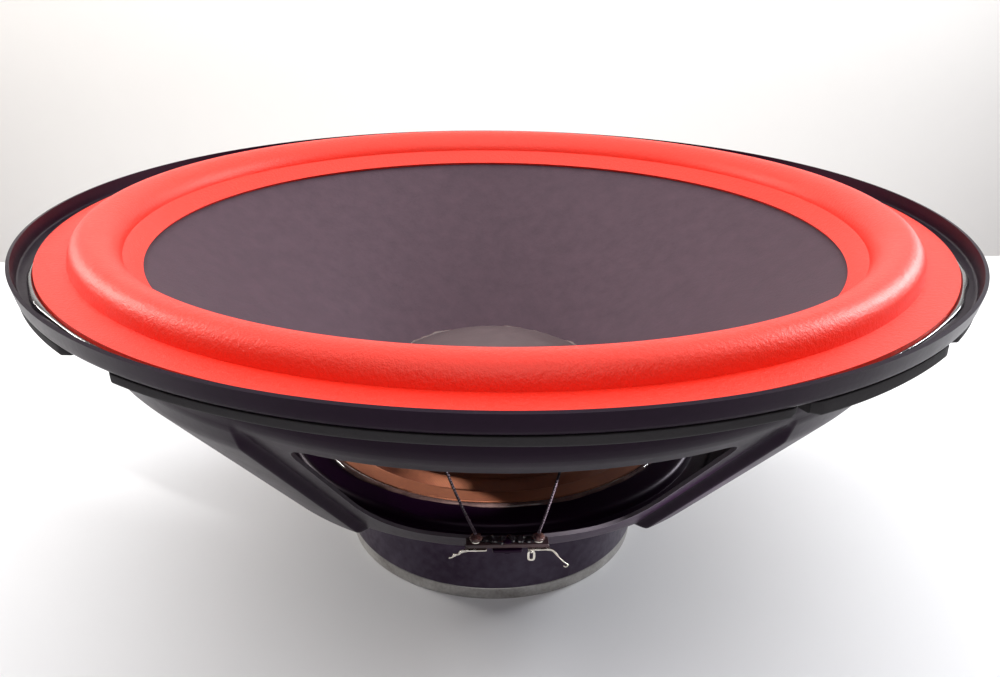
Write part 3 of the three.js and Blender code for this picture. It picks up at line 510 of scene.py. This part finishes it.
def carried(name, route, section, facing=(0, 0, 1), size=None, sharp=38):
    """A closed section carried along a route: point = route + across * side + up * over, where side is
    square to the route and to the facing direction, and over is square to both. The size may change
    along the route. Its UV map holds the way along in metres and the way round from 0 to 1."""
    route, section = np.asarray(route, float), np.asarray(section, float)
    ahead = np.gradient(route, axis=0)
    ahead /= np.linalg.norm(ahead, axis=1, keepdims=True)
    side = np.cross(ahead, np.asarray(facing, float))
    side /= np.linalg.norm(side, axis=1, keepdims=True)
    over = np.cross(side, ahead)
    scale = np.ones(len(route)) if size is None else np.asarray(size, float)
    offset = section[None, :, :] * scale[:, None, None]
    points = route[:, None] + offset[..., :1] * side[:, None] + offset[..., 1:] * over[:, None]
    index = np.arange(points.shape[0] * points.shape[1]).reshape(points.shape[:2])
    low, up = index[:-1], index[1:]
    quads = np.stack([low, up, np.roll(up, -1, 1), np.roll(low, -1, 1)], 2).reshape(-1, 4)
    ends = [index[0].tolist(), index[-1, ::-1].tolist()]
    piece = made(name, points.reshape(-1, 3), quads.tolist() + ends, sharp)
    run = np.concatenate([[0], np.cumsum(np.linalg.norm(np.diff(route, axis=0), axis=1))]) / 1000
    corner = np.zeros(len(piece.data.loops), np.int32)
    piece.data.loops.foreach_get("vertex_index", corner)
    around = (corner % len(section)) / len(section)
    piece.data.uv_layers.new(name="length").data.foreach_set(
        "uv", np.stack([run[corner // len(section)], around], 1).astype(np.float32).ravel())
    return piece


def smooth_route(knots, steps):
    """A smooth line through knots at equal steps of t. Up to four knots take one polynomial for each
    coordinate. More take a cubic from knot to knot, with the slope at each knot set by its neighbours."""
    knots = np.asarray(knots, float)
    known = np.linspace(0, 1, len(knots))
    power = min(3, len(knots) - 1)
    t = np.linspace(0, 1, steps)
    if len(knots) <= 4:
        return np.stack([np.polyval(np.polyfit(known, knots[:, i], power), t) for i in range(3)], 1)
    slope = np.gradient(knots, known, axis=0)
    cell = np.clip(np.searchsorted(known, t, side="right") - 1, 0, len(knots) - 2)
    width = known[1]
    s = ((t - known[cell]) / width)[:, None]
    return ((2 * s ** 3 - 3 * s ** 2 + 1) * knots[cell] + (s ** 3 - 2 * s ** 2 + s) * width * slope[cell]
            + (3 * s ** 2 - 2 * s ** 3) * knots[cell + 1] + (s ** 3 - s ** 2) * width * slope[cell + 1])


def box_plan(width, depth, middle_y, corner, middle_x=0):
    """A rectangle in plan with eased corners."""
    x, y = width / 2, depth / 2
    return eased([[-x, -y], [x, -y], [x, y], [-x, y]], corner) + [middle_x, middle_y]


tab_width, tab_depth = 11, 7.9
tab = slab("terminal_tab", box_plan(tab_width, tab_depth, -(wall(sill) + 2.6), 1.2),
           sill - SHEET, sill - 0.05, 0.35)
tab.data.materials.append(black_paint)
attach(tab, "frame")
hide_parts("basket")

low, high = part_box("terminal_board")
board_y = 500 * (low.y + high.y)
board_top = 1000 * high.z
fibre = skin("black fibre board", (0.034, 0.013, 0.015), (0.016, 0.006, 0.008), 200, 1.5, (0.45, 0.6),
             [(grain, {"Scale": 800}, 0.05)])
board_width, board_depth = 30, 4.8
board = slab("terminal_strip", box_plan(board_width, board_depth, board_y, 0.8), 1000 * low.z, board_top,
             0.25)
board.data.materials.append(fibre)
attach(board, "frame")
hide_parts("terminal_board")

tinned = skin("tinned brass", (0.86, 0.83, 0.76), (0.55, 0.50, 0.42), 300, 2.0, (0.16, 0.34),
              [(grain, {"Scale": 900}, 0.06)], metallic=1.0)
leaf = eased([[-1, -0.3], [1, -0.3], [1, 0.3], [-1, 0.3]], 0.12, 3)
lug_centre, lug_sheet, eye_centre = 11.4, 0.6, 8.6
lug_top = sill
front = board_y - 2.9
for side, name in ((-1, "left"), (1, "right")):
    plate = slab("lug_plate_" + name, box_plan(8, 4.2, front + 2.1, 0.7, side * lug_centre),
                 lug_top - lug_sheet, lug_top, 0.15)
    if side < 0:
        tail = smooth_route([[-14.4, front + 0.5, lug_top - 0.3], [-16.6, front - 0.2, lug_top - 0.2],
                             [-17.6, front + 0.2, lug_top - 1.5], [-19.0, front - 0.3, lug_top - 1.6],
                             [-19.9, front + 0.2, lug_top - 2.9], [-21.2, front, lug_top - 3.0]], 48)
        width = np.linspace(1.0, 0.5, 48) + 0.18 * np.sin(np.linspace(0, 14, 48))
    else:
        tail = smooth_route([[14.4, front + 0.5, lug_top - 0.3], [16.4, front - 0.1, lug_top - 0.5],
                             [18.3, front, lug_top - 3.0], [20.4, front, lug_top - 5.4],
                             [22.0, front, lug_top - 6.9], [21.4, front - 0.4, lug_top - 7.6],
                             [20.5, front - 0.2, lug_top - 7.2]], 64)
        width = np.concatenate([np.linspace(0.9, 0.4, 24), np.full(40, 0.4)])
    strip = carried("lug_tail_" + name, tail, leaf * [0.75, 1.0], (0.2, 1, 0.4), width)
    parts = [plate, strip]
    if side > 0:
        loop = np.radians(90 + np.linspace(0, 360, 49)[:-1])
        square = np.stack([np.cos(loop), np.sin(loop)], 1)
        square = np.sign(square) * np.abs(square) ** 0.55
        stretch = np.stack([eye_centre + 1.05 * square[:, 0], np.full(48, front - 0.2),
                            lug_top - 2.5 + 1.75 * square[:, 1]], 1)
        parts.append(carried("lug_eye_right", np.concatenate([stretch, stretch[:3]]), leaf * [0.42, 0.9],
                             (0, 1, 0)))
        parts.append(carried("lug_fold_right", smooth_route(
            [[eye_centre, front + 0.8, lug_top - 0.3], [eye_centre, front + 0.1, lug_top - 0.35],
             [eye_centre, front - 0.1, lug_top - 0.55], [eye_centre, front - 0.1, lug_top - 0.8]], 14),
            leaf * [0.9, 0.9], (1, 0, 0)))
    for part in parts:
        part.data.materials.append(tinned)
        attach(part, "frame")
        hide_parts("terminal_lug_" + name)

for node in ("terminal_board_rivet", "terminal_rivet_left", "terminal_rivet_right"):
    low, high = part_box(node)
    middle = 500 * (low + high)
    bottom, top = 1000 * low.z, 1000 * high.z
    rivet = turned(node + "_turned", np.concatenate([
        [[0, bottom], [1.6, bottom + 0.05]],
        [[2.0, bottom + 0.35], [2.0, bottom + 0.7], [1.0, bottom + 0.7], [1.0, top - 0.7],
         [2.0, top - 0.7], [1.95, top - 0.4], [1.5, top - 0.1], [0.8, top], [0, top]],
    ]), 32, closed=False, at=(middle.x, middle.y))
    rivet.data.materials.append(black_paint if node == "terminal_board_rivet" else tinned)
    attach(rivet, "frame")
    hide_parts(node)


# ---- Spider ----
# A flat disc of open cotton cloth dipped in resin and pressed hot into rings of corrugations, glued
# down on the basket's step and round the coil's tube. It centres the coil and springs it back.

def sheet_of(line, thickness):
    """The closed outline of a sheet that stands on a line: the line, and back along the same line
    moved sideways by the thickness, square to the mean direction at each point."""
    ahead = np.gradient(line, axis=0)
    ahead /= np.linalg.norm(ahead, axis=1, keepdims=True)
    side = np.stack([-ahead[:, 1], ahead[:, 0]], 1)
    return np.concatenate([line, (line + side * thickness)[::-1]])


def hung(piece):
    """Bakes a ring's placement into its mesh and reads its points; nothing further is done with them."""
    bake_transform(piece)
    place = np.zeros(len(piece.data.vertices) * 3)
    piece.data.vertices.foreach_get("co", place)


# Cloth woven one over one: two sets of ridges a pitch apart that swap height from square to square.
weave, given, out = effect("plain weave", {"Vector": ("Vector", None), "Pitch": ("Float", 1400.0)},
                           {"Height": "Float", "Mask": "Float"})
apart = wired(weave, "ShaderNodeSeparateXYZ", {0: given["Vector"]})
waves = []
for axis in (0, 1):
    phase = wired(weave, "ShaderNodeMath", {0: apart.outputs[axis], 1: given["Pitch"]},
                  operation="MULTIPLY")
    waves.append(wired(weave, "ShaderNodeMath", {0: phase.outputs[0]}, operation="SINE").outputs[0])
swap = wired(weave, "ShaderNodeMath", {0: waves[0], 1: waves[1]}, operation="MULTIPLY")
threads = wired(weave, "ShaderNodeMath", {0: swap.outputs[0], 1: 0.5, 2: 0.5}, operation="MULTIPLY_ADD")
weave.links.new(threads.outputs[0], out["Height"])
weave.links.new(threads.outputs[0], out["Mask"])

spider_radius = reach("spider")[0]
spider_base, cloth = 59.4, 0.7
collar_radius, first_roll, last_roll = 32.9, 35.2, 77.0
ride_out = np.linspace(0, 1, 141)
rolls = np.stack([first_roll + (last_roll - first_roll) * ride_out,
                  spider_base + 2.3 * np.sin(2 * np.pi * 5 * ride_out) * ramp(12 * (1 - ride_out))], 1)
spider_line = np.concatenate([
    [[collar_radius + cloth, spider_base + 3.2], [collar_radius + cloth, spider_base + 1.0]],
    rolls, [[last_roll + 1.5, spider_base], [spider_radius, spider_base]]])
spider = turned("spider_cloth", sheet_of(spider_line, cloth), 160)
amber_cloth = skin("resin dipped cotton", (0.34, 0.115, 0.048), (0.17, 0.045, 0.024), 60, 2.0,
                   (0.55, 0.8), [(weave, {"Pitch": 9000}, 0.03), (grain, {"Scale": 900}, 0.10)])
tree = amber_cloth.node_tree
cloth_shader = tree.nodes["Principled BSDF"]
threads = next(n for n in tree.nodes if n.type == "GROUP" and n.node_tree == weave)
tone = cloth_shader.inputs["Base Color"].links[0].from_socket
gaps = wired(tree, "ShaderNodeMix", {0: threads.outputs["Mask"], 6: (0.20, 0.06, 0.028, 1), 7: tone},
             data_type="RGBA")
tree.links.new(gaps.outputs[2], cloth_shader.inputs["Base Color"])
spider.data.materials.append(amber_cloth)
hung(spider)
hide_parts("spider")

clear_glue = skin("clear adhesive", (0.14, 0.085, 0.075), (0.06, 0.035, 0.035), 90, 2.0, (0.06, 0.16),
                  [(grain, {"Scale": 120}, 0.4)], Coat_Weight=0.6, Coat_Roughness=0.06)
black_glue = skin("black adhesive", (0.010, 0.008, 0.010), (0.005, 0.004, 0.005), 90, 1.5, (0.08, 0.22),
                  [(grain, {"Scale": 160}, 0.5)], Coat_Weight=0.6, Coat_Roughness=0.06)


def bead(name, inner, width, base, rise, slope=0.0, lumps=0.25, turns=288):
    """A bead of adhesive round the axis: half an ellipse on its seat, whose width and height swell
    and thin by a sum of three slow waves of the azimuth."""
    azimuth = np.arange(turns) * 2 * np.pi / turns
    swell = 1 + lumps * (0.5 * np.sin(7 * azimuth + 0.4) + 0.3 * np.sin(17 * azimuth + 2.0)
                         + 0.2 * np.sin(41 * azimuth))
    way = np.linspace(0, np.pi, 9)[::-1]
    across = inner + width * (0.5 + 0.5 * np.cos(way))[:, None] * swell
    seat = base + slope * (across - inner)
    outline = np.stack([across, seat + rise * np.sin(way)[:, None] * swell], 2)
    return turned(name, outline[::-1], turns)


spider_glue = bead("spider_rim_glue", spider_radius + 0.1, 2.6, spider_base - 0.25, 1.0)
spider_glue.data.materials.append(clear_glue)
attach(spider_glue, "frame")
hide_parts("spider_seat_glue")


# ---- Voice coil ----
# A resin-bonded paper tube with two layers of enamelled copper wire wound on its lower end, the turns
# lying side by side.

tube_radius, tube_bottom, tube_top = reach("voice_coil_former")
card = skin("resin bonded paper", (0.36, 0.20, 0.10), (0.20, 0.10, 0.05), 150, 1.6, (0.5, 0.65),
            [(grain, {"Scale": 900}, 0.05)])
former = turned("coil_tube", eased([[tube_radius - 0.6, tube_bottom], [tube_radius, tube_bottom],
                                    [tube_radius, tube_top], [tube_radius - 0.6, tube_top]], 0.15, 2), 128)
former.data.materials.append(card)
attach(former, "cone_assembly")
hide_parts("voice_coil_former")

wound_radius, wound_bottom, wound_top = reach("voice_coil_winding")
wire_turns = 40
climb = np.linspace(0, 1, wire_turns * 6 + 1)
wire_side = np.stack([wound_radius - 0.3 + 0.3 * np.abs(np.sin(np.pi * wire_turns * climb)),
                      wound_bottom + (wound_top - wound_bottom) * climb], 1)
winding = turned("coil_winding", np.concatenate(
    [wire_side, [[wound_radius - 1.5, wound_top], [wound_radius - 1.5, wound_bottom]]]), 128, sharp=80)
copper = skin("enamelled copper", (0.62, 0.24, 0.09), (0.42, 0.13, 0.04), 400, 1.5, (0.22, 0.34),
              [(grain, {"Scale": 900}, 0.02)], metallic=1.0)
winding.data.materials.append(copper)
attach(winding, "cone_assembly")
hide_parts("voice_coil_winding")


# ---- Cone ----
# Paper pulp felted on a former and pressed: a straight-sided cone with a turned edge, matt, with its
# fibres showing as a fine mottle. Black adhesive joins its neck to the coil's tube and the spider.

PAPER = 1.2
neck_radius, neck_height = 33.2, 69.2
knee_radius, knee_height = 149.9, 146.5
edge_radius, edge_height = 157.1, 152.75
cone_slope = (knee_height - neck_height) / (knee_radius - neck_radius)
cone_line = filled(eased([[edge_radius, edge_height], [knee_radius, knee_height],
                          [neck_radius, neck_height]], [0, 4, 0]), 6)[::-1]
cone_outline = sheet_of(cone_line, -PAPER)[::-1]
cone = turned("cone_pulp", cone_outline, 240)
pulp = skin("pressed pulp", (0.088, 0.052, 0.069), (0.054, 0.030, 0.043), 130, 1.5, (0.62, 0.76),
            [(grain, {"Scale": 520}, 0.18), (grain, {"Scale": 1700}, 0.08)], Specular_IOR_Level=0.3)
cone.data.materials.append(pulp)
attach(cone, "cone_assembly")
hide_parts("cone")

neck_bead = bead("cone_neck_bead", neck_radius - 0.3, 3.4, neck_height + 0.2, 1.6, cone_slope, 0.15, 160)
neck_bead.data.materials.append(black_glue)
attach(neck_bead, "cone_assembly")
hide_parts("cone_neck_glue")

collar_bead = bead("spider_collar_bead", collar_radius, 1.4, spider_base + 3.6, 1.2, 0, 0.2, 160)
collar_bead.data.materials.append(black_glue)
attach(collar_bead, "cone_assembly")
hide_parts("spider_neck_glue")


# ---- Tinsel leads ----
# Two flexible braids of copper tinsel over cotton carry the current from the solder joints up to the
# cone, where each is held by a dab of adhesive. They bow down a little between their ends.

# Braid: two sets of diagonal strands along and round the lead, crossing.
braid, given, out = effect("lead braid", {"Vector": ("Vector", None), "Pitch": ("Float", 5000.0)},
                           {"Height": "Float"})
apart = wired(braid, "ShaderNodeSeparateXYZ", {0: given["Vector"]})
run = wired(braid, "ShaderNodeMath", {0: apart.outputs[0], 1: given["Pitch"]}, operation="MULTIPLY")
turn = wired(braid, "ShaderNodeMath", {0: apart.outputs[1], 1: 4 * math.pi}, operation="MULTIPLY")
crossing = []
for operation in ("ADD", "SUBTRACT"):
    phase = wired(braid, "ShaderNodeMath", {0: run.outputs[0], 1: turn.outputs[0]}, operation=operation)
    crossing.append(wired(braid, "ShaderNodeMath", {0: phase.outputs[0]}, operation="SINE").outputs[0])
height = wired(braid, "ShaderNodeMath", {0: crossing[0], 1: crossing[1]}, operation="MAXIMUM")
braid.links.new(height.outputs[0], out["Height"])

tinsel = skin("tinsel braid", (0.075, 0.052, 0.070), (0.026, 0.016, 0.024), 500, 2.0, (0.5, 0.7),
              [(braid, {"Pitch": 5000}, 0.2)], Specular_IOR_Level=0.35)
tree = tinsel.node_tree
strands = next(n for n in tree.nodes if n.type == "GROUP" and n.node_tree == braid)
along = wired(tree, "ShaderNodeUVMap", uv_map="length")
tree.links.new(along.outputs[0], strands.inputs["Vector"])
solder = skin("set solder", (0.085, 0.040, 0.034), (0.020, 0.008, 0.012), 420, 3.0, (0.12, 0.3),
              [(grain, {"Scale": 700}, 0.35)])
clock = np.radians(np.arange(0, 360, 30))
round_wire = np.stack([np.cos(clock), np.sin(clock)], 1)
lead_radius, lead_azimuth, lead_sag = 0.55, 23, 7.0
quarter = np.linspace(0.1, np.pi / 2, 8)
for side, name in ((-1, "left"), (1, "right")):
    joint_low, joint_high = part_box("solder_joint_" + name)
    joint = 500 * (joint_low + joint_high)
    top = 1000 * joint_high.z
    mound = turned("solder_mound_" + name, np.concatenate([
        [[0, 1000 * joint_low.z - 0.2]], [[2.3, 1000 * joint_low.z - 0.2]],
        np.stack([2.4 * np.cos(quarter), top - 1.3 + 1.5 * np.sin(quarter)], 1)]),
        32, closed=False, at=(joint.x, joint.y))
    mound.data.materials.append(solder)
    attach(mound, "frame")
    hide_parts("solder_joint_" + name)

    pad_low, pad_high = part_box("lead_anchor_" + name)
    pad = 500 * (pad_low + pad_high)
    pad = np.array([pad.x, pad.y, pad.z])
    away = np.array([side * math.sin(math.radians(lead_azimuth)), -math.cos(math.radians(lead_azimuth)), 0])
    lean = math.atan(cone_slope)
    down = np.array([*(away[:2] * math.sin(lean)), -math.cos(lean)])
    start = np.array([joint.x, joint.y, top + 0.6])
    end = pad + down * 1.6
    t = np.linspace(0, 1, 49)[:, None]
    sag = (start + end) / 2 - [0, 0, lead_sag]
    route = (1 - t) ** 2 * start + 2 * t * (1 - t) * sag + t ** 2 * end
    lead = carried("tinsel_braid_" + name, route, lead_radius * round_wire, sharp=80)
    lead.data.materials.append(tinsel)
    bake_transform(lead)
    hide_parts("tinsel_lead_" + name)

    t = np.linspace(-1, 1, 13)
    across = np.cross(away, down)
    dab = carried("lead_dab_" + name, pad + np.outer(t * 3.1, across), round_wire * [1.0, 0.35], down,
                  2.9 * np.sqrt(np.maximum(1 - t * t, 0.002)))
    dab.data.materials.append(black_glue)
    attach(dab, "cone_assembly")
    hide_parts("lead_anchor_" + name)


# Black adhesive spread over the middle of the board when the leads were dressed.
t = np.linspace(-1, 1, 33)
spread = np.stack([0.5 + 10.5 * t, np.full(33, board_y + 0.4) + 0.4 * np.sin(7 * t),
                   np.full(33, board_top + 0.1)], 1)
lumpy = 1.5 * np.sqrt(np.maximum(1 - t ** 4, 0.01)) * (1 + 0.22 * np.sin(19 * t) + 0.15 * np.sin(41 * t))
smear = carried("terminal_adhesive", spread, round_wire * [1.35, 0.75], (0, 0, 1), lumpy)
smear.data.materials.append(black_glue)
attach(smear, "frame")


# ---- Dust cap ----
# A shallow dome of the same pulp over the coil's open top, seated on the cone in a bead of adhesive. Its
# colour is painted lighter than the cone's, for the light that falls on the dome.

cap_edge = 49.0
cap_rise = 13.0
cap_sphere = (cap_edge ** 2 + cap_rise ** 2) / (2 * cap_rise)
cap_crown = reach("dust_cap")[2]
cap_centre = cap_crown - cap_sphere - PAPER
cap_half = math.asin(cap_edge / cap_sphere)


def dome_line(radius, steps=40):
    """Points on a sphere round the cap's centre from its edge to its crown, by equal angles."""
    way = cap_half * np.linspace(1, 0, steps)
    return np.stack([radius * np.sin(way), cap_centre + radius * np.cos(way)], 1)


dust_cap = turned("dust_cap_pulp", np.concatenate(
    [dome_line(cap_sphere)[::-1], dome_line(cap_sphere + PAPER)]), 160, closed=False)
# Painted light: this is the cone's pulp, coloured lighter for the light on the dome.
cap_pulp_painted_lighter = skin("pressed pulp of the cap", (0.118, 0.084, 0.088), (0.078, 0.054, 0.058), 130, 1.5,
                (0.55, 0.7), [(grain, {"Scale": 520}, 0.18), (grain, {"Scale": 1700}, 0.08)],
                Specular_IOR_Level=0.35)
dust_cap.data.materials.append(cap_pulp_painted_lighter)
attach(dust_cap, "cone_assembly")
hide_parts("dust_cap")

cap_seat = neck_height + (cap_edge - neck_radius) * cone_slope
cap_glue = bead("dust_cap_bead", cap_edge - 0.2, 1.9, cap_seat - 0.1, 0.7, cone_slope, 0.5)
cap_glue.data.materials.append(clear_glue)
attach(cap_glue, "cone_assembly")
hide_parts("dust_cap_glue")


# ---- Surround ----
# A ring of moulded red foam with one half roll. Its flat outer seat is glued on the flange and its
# inner edge on the cone's rim, where the foam's cut edge shows.

FOAM = 1.6
foam_outer, roll_outer, roll_inner, foam_inner = 186.8, 173.9, 157.4, 149.9
seat_height, roll_base, inner_height = 153.8, 153.4, 146.9
across = np.linspace(0, 1, 61)
bent = 1 - (1 - across) ** 0.86
roll = np.stack([roll_inner + (roll_outer - roll_inner) * (0.5 - 0.5 * np.cos(np.pi * across)),
                 roll_base + (seat_height - roll_base) * across + 8.6 * np.sin(np.pi * bent)], 1)
foam_line = np.concatenate([
    filled(np.array([[foam_inner, inner_height], [roll_inner, roll_base]]), 1.5)[:-1],
    roll,
    filled(np.array([[roll_outer, seat_height], [foam_outer, seat_height]]), 1.5)[1:]])
surround = turned("surround_foam_ring", sheet_of(foam_line, FOAM), 288, sharp=60)
red_foam = skin("moulded red foam", (0.96, 0.032, 0.012), (0.92, 0.020, 0.008), 40, 1.0, (0.38, 0.48),
                [(grain, {"Scale": 650}, 0.26), (grain, {"Scale": 2000}, 0.10)],
                Specular_Tint=(1.0, 0.92, 0.82, 1.0))
surround.data.materials.append(red_foam)
hung(surround)
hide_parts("surround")

# The adhesive that squeezes out round the foam's edge lies thicker in two places, left and right.
turns = 384
azimuth = np.degrees(np.arange(turns) * 2 * np.pi / turns)
gather = (np.exp(-((azimuth - 303) / 9) ** 2) + np.exp(-((azimuth - 60) / 9) ** 2)
          + 0.35 * np.exp(-((azimuth - 120) / 20) ** 2))
uneven = 1 + 0.35 * np.sin(np.radians(azimuth * 23)) * np.sin(np.radians(azimuth * 7) + 1)
width = (0.9 + 2.2 * gather) * uneven
rise = (0.5 + 0.9 * gather) * uneven
way = np.linspace(0, np.pi, 9)
squeezed = np.stack([foam_outer + 0.1 + width * (0.5 + 0.5 * np.cos(way))[:, None],
                     seat_height - 0.2 + rise * np.sin(way)[:, None]], 2)
foam_bead = turned("surround_bead", squeezed, turns)
foam_bead.data.materials.append(black_glue)
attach(foam_bead, "frame")
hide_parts("surround_glue_bead")


# ---- Floor, light and camera ----
# A pale table in front of a bright wall. Soft light comes from above, from a window behind on each
# side and from the front, and two more lamps wash the wall.

def stage_sheet(name, corners, colour, rough):
    """A flat sheet between four corners in millimetres."""
    sheet = made(name, np.array(corners, float), [[0, 1, 2, 3]])
    sheet.data.materials.append(skin(name, colour, tuple(0.97 * c for c in colour), 3, 1.0, rough,
                                     [(grain, {"Scale": 200}, 0.02)]))
    return sheet


stage_sheet("table", [[-4000, -3000, 0], [4000, -3000, 0], [4000, 430, 0], [-4000, 400, 0]],
            (0.86, 0.86, 0.87), (0.45, 0.5))
stage_sheet("wall", [[-6000, 1500, -1500], [6000, 1500, -1500], [6000, 1500, 3500], [-6000, 1500, 3500]],
            (0.95, 0.925, 0.89), (0.9, 0.95))

scene = bpy.context.scene
world = bpy.data.worlds.new("room")
world.use_nodes = True
world.node_tree.nodes["Background"].inputs["Color"].default_value = (0.92, 0.72, 0.96, 1)
world.node_tree.nodes["Background"].inputs["Strength"].default_value = 0.06
scene.world = world
scene.view_settings.view_transform = "Standard"


def lamp(name, kind, place, aim, power, colour=(1, 1, 1)):
    """A light of one kind at a place in millimetres, turned to a point."""
    data = bpy.data.lights.new(name, kind)
    data.energy = power
    data.color = colour
    light = bpy.data.objects.new(name, data)
    light.location = np.array(place) / 1000
    direction = light.location.copy()
    direction.x, direction.y, direction.z = (np.array(aim) - np.array(place)) / 1000
    light.rotation_euler = direction.to_track_quat("-Z", "Y").to_euler()
    scene.collection.objects.link(light)
    return data


def soft_light(name, place, aim, size, power, colour=(1, 1, 1)):
    """A square area light of a size in millimetres."""
    data = lamp(name, "AREA", place, aim, power, colour)
    data.shape = "SQUARE"
    data.size = size / 1000


soft_light("ceiling", (0, 0, 1700), (0, 0, 100), 2200, 12)
soft_light("right window", (1560, 800, 860), (0, 0, 60), 420, 23, (0.94, 0.97, 1.0))
soft_light("left window", (-1560, 800, 860), (0, 0, 60), 420, 17, (1.0, 0.97, 0.92))
soft_light("wall wash", (0, 600, 1000), (0, 1500, -200), 2000, 14)
soft_light("low wall wash", (0, 560, -800), (0, 1500, -250), 1300, 9)
soft_light("front fill", (0, -1300, 1500), (0, 0, 120), 1400, 14)

# A narrow beam from the front right, a little above the table, comes through the front window and
# lights the left of the spider.
beam = lamp("low beam", "SPOT", (520, -400, 160), (-67, -40, 59.5), 130)
beam.spot_size = math.radians(6)
beam.spot_blend = 1.0
beam.shadow_soft_size = 0.02

# The viewer stands close in front of the speaker and a little left of it, and looks down on it.
camera_data = bpy.data.cameras.new("viewer")
camera_data.sensor_width = 36
camera_data.lens = 31.586
camera_data.shift_x = 0.0181
camera_data.clip_start = 0.01
camera = bpy.data.objects.new("viewer", camera_data)
yaw, pitch, roll = math.radians(2.1), math.radians(23.16), math.radians(0.35)
forward = np.array([math.sin(yaw) * math.cos(pitch), math.cos(yaw) * math.cos(pitch), -math.sin(pitch)])
right = np.cross(forward, [0, 0, 1])
right /= np.linalg.norm(right)
up = np.cross(right, forward)
level_right = right * math.cos(roll) + up * math.sin(roll)
level_up = up * math.cos(roll) - right * math.sin(roll)
turned_frame = np.eye(4)
turned_frame[:3, :3] = np.stack([level_right, level_up, -forward], 1)
turned_frame[:3, 3] = np.array([-19.27, -381.92, 259.3]) / 1000
camera.matrix_world = type(camera.matrix_world)(turned_frame.tolist())
scene.collection.objects.link(camera)
scene.camera = camera
